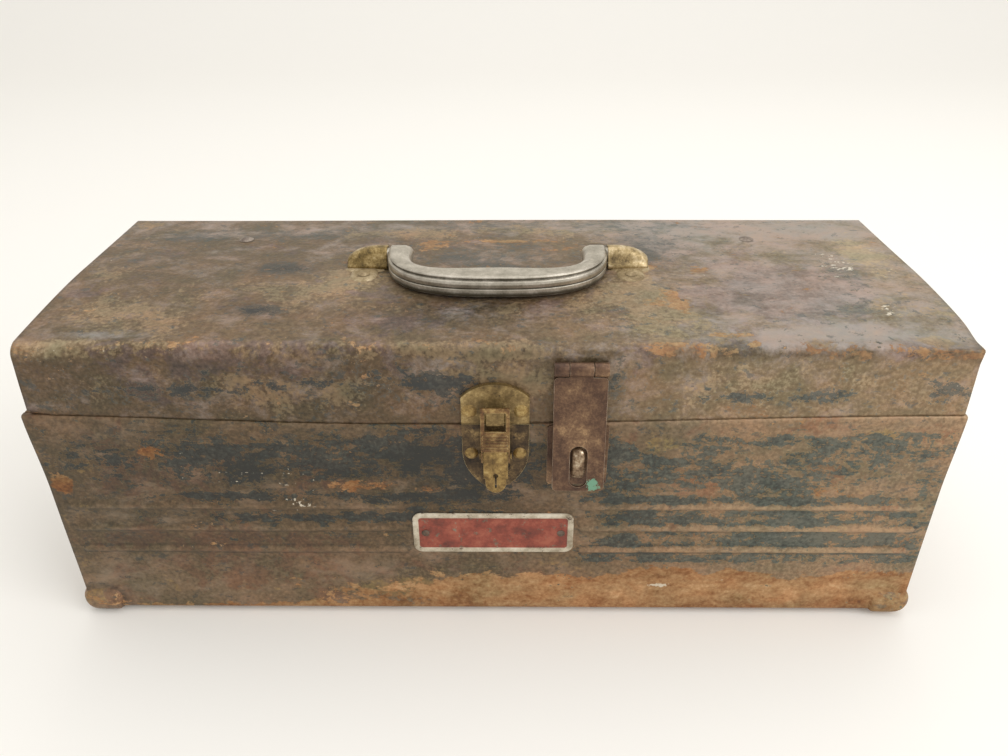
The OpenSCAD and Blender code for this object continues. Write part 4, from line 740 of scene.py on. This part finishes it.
piece("lid_wrap_sheet", [(lid_points, [grid_faces(*x.shape)])], "lid", ["lid_wrap"], lid_steel,
      SHEET, lid_masks, kept_paint)

# The lid's two end panels: flanged pans welded inside its wrap, and two flat rivets near the back of its top. The
# same worn paint as the wrap.

pan_front, pan_back, pan_top = lid_front + inset, lid_back - inset, lid_top - inset
lid_end_path = bent_path([(pan_back, lid_low), (pan_back, pan_top), (pan_front, pan_top), (pan_front, lid_low)],
                         [LID_BACK_BEND - inset, LID_BEND - inset], [3, 4, 3])
for side, word in SIDES:
    pan = end_pan(lid_end_path, (lid_back - HUB_IN, lid_low), (lid_front + HUB_IN, lid_low),
                  lambda y, z: lid_right - end_lean(np.full_like(z, side), y, z)) * (side, 1, 1)
    pan[..., 2] -= droop(*np.moveaxis(pan, -1, 0))
    py, pz = pan[..., 1], pan[..., 2] - lid_low
    piece("lid_end_sheet_" + word, [(pan, [grid_faces(*pan.shape[:2])[:, ::side]])], "lid", ["lid_end_" + word],
          lid_steel, SHEET, {
              "pale": 0.1 * rise(pz, 0, 30) - 0.1, "plum": blotches(py, pz, [(20, 20, 50, 20, 0.5)]),
              "paint": blotches(py, pz, [(-30, 20, 50, 14, 0.5), (50, 24, 40, 14, 0.5)]),
              "rust": blotches(py, pz, [(0, 3, 90, 7, 0.6), (80, 20, 14, 20, 0.4)]),
              **kept_inside(0.7, 0.45 * rise(pz, 12, 0))}, kept_paint)
# Rivet heads stained like the sheet around them.
stained_rivet = tarnished("plum_stained_rivet", ("5a4d43", "83766a", "a89c8e"), "54463c", 0.02, 0.3, 0.5, 6,
                          places=(0, 0.5, 1))
finish_nodes(stained_rivet, 0, "lid_rivets")

# The handle's two brackets: half-round brass-plated hoods that taper to their outer ends and hold the handle's studs,
# on plates with a riveted ear in front and behind.

bracket_from, bracket_to = np.array(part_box("handle_bracket_right")) * MM
bracket_low, bracket_high, bracket_half = bracket_from[2], bracket_to[2], (bracket_to[1] - bracket_from[1]) / 2
bow_x = np.array(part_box("handle"))[:, 0].mean() * MM
pivot_y = (bracket_from[1] + bracket_to[1]) / 2
BOW_W, PLATE_T, EAR_W, PLATE_HALF = 126.0, 1.2, 14.0, 11.0
HOOD_W, HOOD_T, HOOD_STRAIGHT, HOOD_LIFT = 6.4, 1.0, 5.0, 0.6


def hood(side):
    """Half tube y = W cos^k, z = H sin^k about the pivot, straight and then tapering by a quarter ellipse outwards,
    with its foot flared onto the plate."""
    inner, outer, power = BOW_W / 2 + 0.6, bracket_to[0] - bow_x, 0.75
    s = np.linspace(inner, outer, 40)[:, None]
    taper = np.sqrt(1 - (np.clip((s - inner - HOOD_STRAIGHT) / (outer - inner - HOOD_STRAIGHT), 0, 1) * 0.92) ** 2)
    phi = np.linspace(0, np.pi, 33)[None, :]
    flare = 1.6 * np.exp(-(np.sin(phi) / 0.2) ** 2) * np.sign(np.cos(phi))
    hy = pivot_y + HOOD_W * (0.4 + 0.6 * taper) * signed_power(np.cos(phi), power) + flare
    foot = bracket_low + HOOD_LIFT
    hz = foot + (bracket_high - foot) * taper * np.sin(phi) ** power
    points = np.stack(np.broadcast_arrays(bow_x + side * s, hy, hz), -1)
    return points, [grid_faces(*points.shape[:2])[:, ::-side]]


def bracket_plate(side, half_x, half_y, corner, high):
    """A low plate on the lid with a soft edge, as rings from its outline to its flat top."""
    rows = [(-1.2, -0.8), (-0.6, 0.0), (0, high * 0.3), (0.7, high * 0.75), (1.6, high), (half_x - 0.8, high)]
    rings = rounded_rings(half_x, half_y, corner, rows)
    return tube(rings + (bow_x + side * (BOW_W / 2 + 2 + PLATE_HALF), pivot_y, bracket_low), True)


# Thin brass plating on steel: khaki and satin, brown where it has worn through. The left hood's tones are darker and
# the right's lighter: painted shade and light, as if lit from the right.
lit_and_shaded_hood_tones = {"left": ("463820", "846e3f", "ad9564", "cfbf95"),
              "right": ("64543a", "a28c61", "c6b189", "e2d6b8")}
ear_brass = tarnished("khaki_stained_brass_ear", ("6b583d", "93805e", "aa9877", "c4b494"), "5a4630", 0.02,
                      0.35, 0.48, 8)
for side, word in SIDES:
    hood_brass = tarnished("tarnished_brass_hood_" + word, lit_and_shaded_hood_tones[word], "5a4630", 0.0, 0.45, 0.42, 7)
    piece("handle_bracket_hood_" + word, [hood(side)], "lid", ["handle_bracket_" + word], hood_brass,
          HOOD_T)
    piece("handle_bracket_plate_" + word, [
        bracket_plate(side, EAR_W / 2, bracket_half, 6.8, PLATE_T * 0.8),
        bracket_plate(side, PLATE_HALF, HOOD_W + 3.2, 3.5, PLATE_T * 0.6)], "lid", [], ear_brass)
finish_nodes(ear_brass, 0, "handle_bracket_rivets")

# The handle: a bow cast in aluminium, with a flat top face, a groove and a fine line round the grip, and a stud at
# each end. It lies folded forwards on the lid.

(_, bow_front, bow_low), (_, _, bow_high) = np.array(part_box("handle")) * MM
BOW_REACH, ARM_W, GRIP_W, ARM_CAP, NOMINAL = 47.0, 14.0, 17.0, 5.0, 15.5
STUD_R, STUD_END, STUD_IN, STUD_EDGE = 4.2, 73.0, 5.0, 0.5
bow_y = bow_front + BOW_REACH
bow_z, bow_t = (bow_low + bow_high) / 2, bow_high - bow_low
section = np.array([
    (8, 0), (4.5, 0), (1.4, 0.11), (0.3, 0.3), (0, 0.5), (0.3, 0.7), (1.4, 0.89), (4.5, 1), (13.5, 1), (14.5, 0.93),
    (13.7, 0.88), (13.7, 0.82), (15.2, 0.77), (15.5, 0.64), (15.3, 0.48), (14.7, 0.445), (14.7, 0.415), (15.3, 0.38),
    (15.3, 0.12), (14.3, 0), (8, 0)])
corner_radii = [1.2, 1.6, 1.2, 2, 1.2, 1.6, 1.5, 0.5, 0.3, 0.12, 0.12, 0.5, 0.8, 0.4, 0.12, 0.12, 0.25, 0.8, 0.4]
section = bent_path(section * (1, bow_t), corner_radii, [3] * 20, 3)[:-1]
section[:, 1] = section[:, 1] / bow_t - 0.5


def oval(a, b, n, angle):
    """Half of the curve |x/a|^n + |y/b|^n = 1, open towards the pivots."""
    c, s = np.cos(angle), np.sin(angle)
    return np.stack([a * signed_power(c, 2 / n), -b * np.abs(s) ** (2 / n)], 1)


def with_caps(curve, half):
    """An edge of the bow carried on past both pivots, to the rounded ends of its arms."""
    right_cap = np.stack([np.full_like(cap, half), ARM_CAP * np.sin(cap)], 1)
    return np.concatenate([right_cap, curve, right_cap[::-1] * (-1, 1)])


sweep, cap = np.linspace(0, np.pi, 97), np.radians([84, 72, 58, 44, 30, 15])
inner, outer = oval(BOW_W / 2 - ARM_W, BOW_REACH - GRIP_W, 4, sweep), oval(BOW_W / 2, BOW_REACH, 2.6, sweep)
inner[:, 1] += 2.2 * np.exp(-(inner[:, 0] / 24) ** 2)
inner, outer = with_caps(inner, BOW_W / 2 - ARM_W), with_caps(outer, BOW_W / 2)
cap_thick = 0.14 + 0.86 * np.cos(cap)
thick = np.concatenate([cap_thick, np.ones(len(sweep)), cap_thick[::-1]]) * bow_t
across = (outer - inner) / np.linalg.norm(outer - inner, axis=1)[:, None]
flat = np.where((section[:, 0] < NOMINAL / 2)[None, :, None],
                inner[:, None] + across[:, None] * section[None, :, :1],
                outer[:, None] - across[:, None] * (NOMINAL - section[None, :, :1]))
bow_points = np.concatenate([flat + (bow_x, bow_y), bow_z + thick[:, None, None] * section[None, :, 1:]], -1)


def turned(profile, y, z):
    """A round piece about an axis along X: each (x, radius) of the profile carried once round."""
    angle = np.linspace(0, 2 * np.pi, 41)[:-1]
    px, pr = np.array(profile, float).T[:, :, None]
    return tube(np.stack(np.broadcast_arrays(px, y + pr * np.cos(angle), z + pr * np.sin(angle)), -1))


# Sand-cast aluminium, hand-polished: satin grey with soft clouds, and a dark brown laid into its grooves and
# underneath, part packed dirt and part painted shade.
cast, t, spot = new_material("worn_cast_aluminium")
groove = add(t, "Attribute", attribute_name="groove")["Fac"]
cloud = add(t, "TexNoise", {"Vector": spot, "Scale": MM / 9, "Detail": 8, "Roughness": 0.65})[0]
fine = add(t, "TexNoise", {"Vector": spot, "Scale": MM / 1.0, "Detail": 5, "Roughness": 0.7})[0]
tone = add(t, "Math", {0: fine, 1: 0.5, 2: cloud}, operation="MULTIPLY_ADD")[0]
grey = add(t, "ValToRGB", {0: tone}, [(0.55, "989183"), (0.75, "b8b1a3"), (0.95, "d2cbbe")])[0]
darkening_level = add(t, "Math", {0: tone, 1: -0.5, 2: groove}, operation="MULTIPLY_ADD")[0]
darkened = add(t, "MapRange", {"Value": darkening_level, 1: 0.0, 2: 0.5, 4: 0.92}, interpolation_type="SMOOTHSTEP")[0]
colour = add(t, "Mix", {0: darkened, 6: grey, 7: linear("37301f")}, data_type="RGBA")[2]
rough = add(t, "Math", {0: tone, 1: 0.25, 2: 0.2}, operation="MULTIPLY_ADD")[0]
metal = add(t, "Math", {0: darkened, 1: -0.75, 2: 0.85}, operation="MULTIPLY_ADD")[0]
surface(t, colour, metal, rough, tone, 0.2, 0.3)
# The groove mask: dark in the grooves and towards the underside, part dirt and part painted shade.
high = section[:, 1] + 0.5
in_groove = (section[:, 0] > 13.5) & (section[:, 0] < 14.9) & (high > 0.39) & (high < 0.9)
shade_and_grime_underneath = np.where(high < 0.05, 0.58, 0.95) * rise(high, 0.46, 0.12)
grime_and_painted_shade = np.maximum(in_groove * np.where(high > 0.6, 0.75, 1.0), shade_and_grime_underneath)
studs = [turned([(bow_x + s * (BOW_W / 2 - STUD_IN), STUD_R), (bow_x + s * STUD_END, STUD_R),
                 (bow_x + s * (STUD_END + STUD_EDGE), STUD_R - STUD_EDGE)][::s], bow_y, bow_z) for s, _ in SIDES]
piece("handle_cast", [tube(bow_points)] + studs, "handle_bow", ["handle"], cast,
      masks={"groove": np.repeat(grime_and_painted_shade[None], len(bow_points), 0)})

# The studio: a pale paper sweep lit a little from below, under and behind the box, soft light from all round, and a
# window-like key at the right. The camera stands where the photographer stood, looking down.

SWEEP_FRONT, SWEEP_BACK, SWEEP_BEND, SWEEP_TOP = -3.0, 1.6, 1.2, 4.0
curl = np.linspace(0, np.pi / 2, 30)[1:]
run = np.concatenate([np.linspace(SWEEP_FRONT, SWEEP_BACK, 40), SWEEP_BACK + SWEEP_BEND * np.sin(curl),
                      [SWEEP_BACK + SWEEP_BEND]])
lift = np.concatenate([np.zeros(40), SWEEP_BEND * (1 - np.cos(curl)), [SWEEP_TOP]])
fx, fy = np.meshgrid(np.linspace(-4, 4, 9), run)
fz = np.repeat(lift[:, None], 9, 1)
paper_mesh = bpy.data.meshes.new("paper_sweep")
paper_mesh.from_pydata(np.stack([fx, fy, fz], -1).reshape(-1, 3).tolist(), [],
                       grid_faces(*fx.shape)[:, ::-1].tolist())
paper_mesh.shade_smooth()
paper = bpy.data.objects.new("paper_sweep", paper_mesh)
bpy.context.collection.objects.link(paper)
# Matt white paper on a light table: no gloss, and a faint glow that keeps the shadows soft.
paper_white = bpy.data.materials.new("matt_white_paper")
paper_white.use_nodes = True
sheen = paper_white.node_tree.nodes["Principled BSDF"].inputs
sheen["Base Color"].default_value, sheen["Roughness"].default_value = linear("ebe9e4"), 0.9
sheen["Emission Color"].default_value, sheen["Emission Strength"].default_value = linear("fffaf2"), 0.09
paper.data.materials.append(paper_white)

sky = bpy.data.worlds.new("soft_room")
bpy.context.scene.world = sky
sky.use_nodes = True
glow = sky.node_tree.nodes["Background"].inputs
glow["Color"].default_value, glow["Strength"].default_value = linear("fffdfa"), 0.8


def stand(name, data, place, beside, above, ahead):
    """Stands a light or a camera at a place in metres, by its directions to the right, up and ahead."""
    made = bpy.data.objects.new(name, data)
    made.matrix_world = np.vstack([np.column_stack([beside, above, -ahead, place]), (0, 0, 0, 1)]).T
    bpy.context.collection.objects.link(made)
    return made


def soft_box(name, place, aim, size, watts):
    """A square area light at a place in metres, turned to face a point."""
    data = bpy.data.lights.new(name, "AREA")
    data.size, data.energy = size, watts
    way = np.array(aim, float) - place
    way /= np.linalg.norm(way)
    beside = np.cross(way, (0, 0, 1))
    beside /= np.linalg.norm(beside)
    stand(name, data, place, beside, np.cross(beside, way), way)


soft_box("key_right", (1.5, -1.0, 1.5), (0.1, 0, 0.1), 1.4, 19)
soft_box("overhead", (0.1, 0.4, 2.0), (0, 0, 0), 1.8, 12)

VIEW_PX, IMAGE_W, SENSOR, STAND = 819.5, 1008, 36, (0.01117, -0.43710, 0.37185)
yaw, pitch, roll = np.radians([-0.746, 30.501, -0.329])
ahead = np.array([np.sin(yaw) * np.cos(pitch), np.cos(yaw) * np.cos(pitch), -np.sin(pitch)])
level_right = np.array([np.cos(yaw), -np.sin(yaw), 0])
level_up = np.cross(level_right, ahead)
tilt_right = level_right * np.cos(roll) + level_up * np.sin(roll)
tilt_up = level_up * np.cos(roll) - level_right * np.sin(roll)
lens = bpy.data.cameras.new("camera")
lens.sensor_width, lens.lens = SENSOR, VIEW_PX * SENSOR / IMAGE_W
bpy.context.scene.camera = stand("camera", lens, STAND, tilt_right, tilt_up, ahead)
bpy.context.scene.view_settings.view_transform = "Standard"
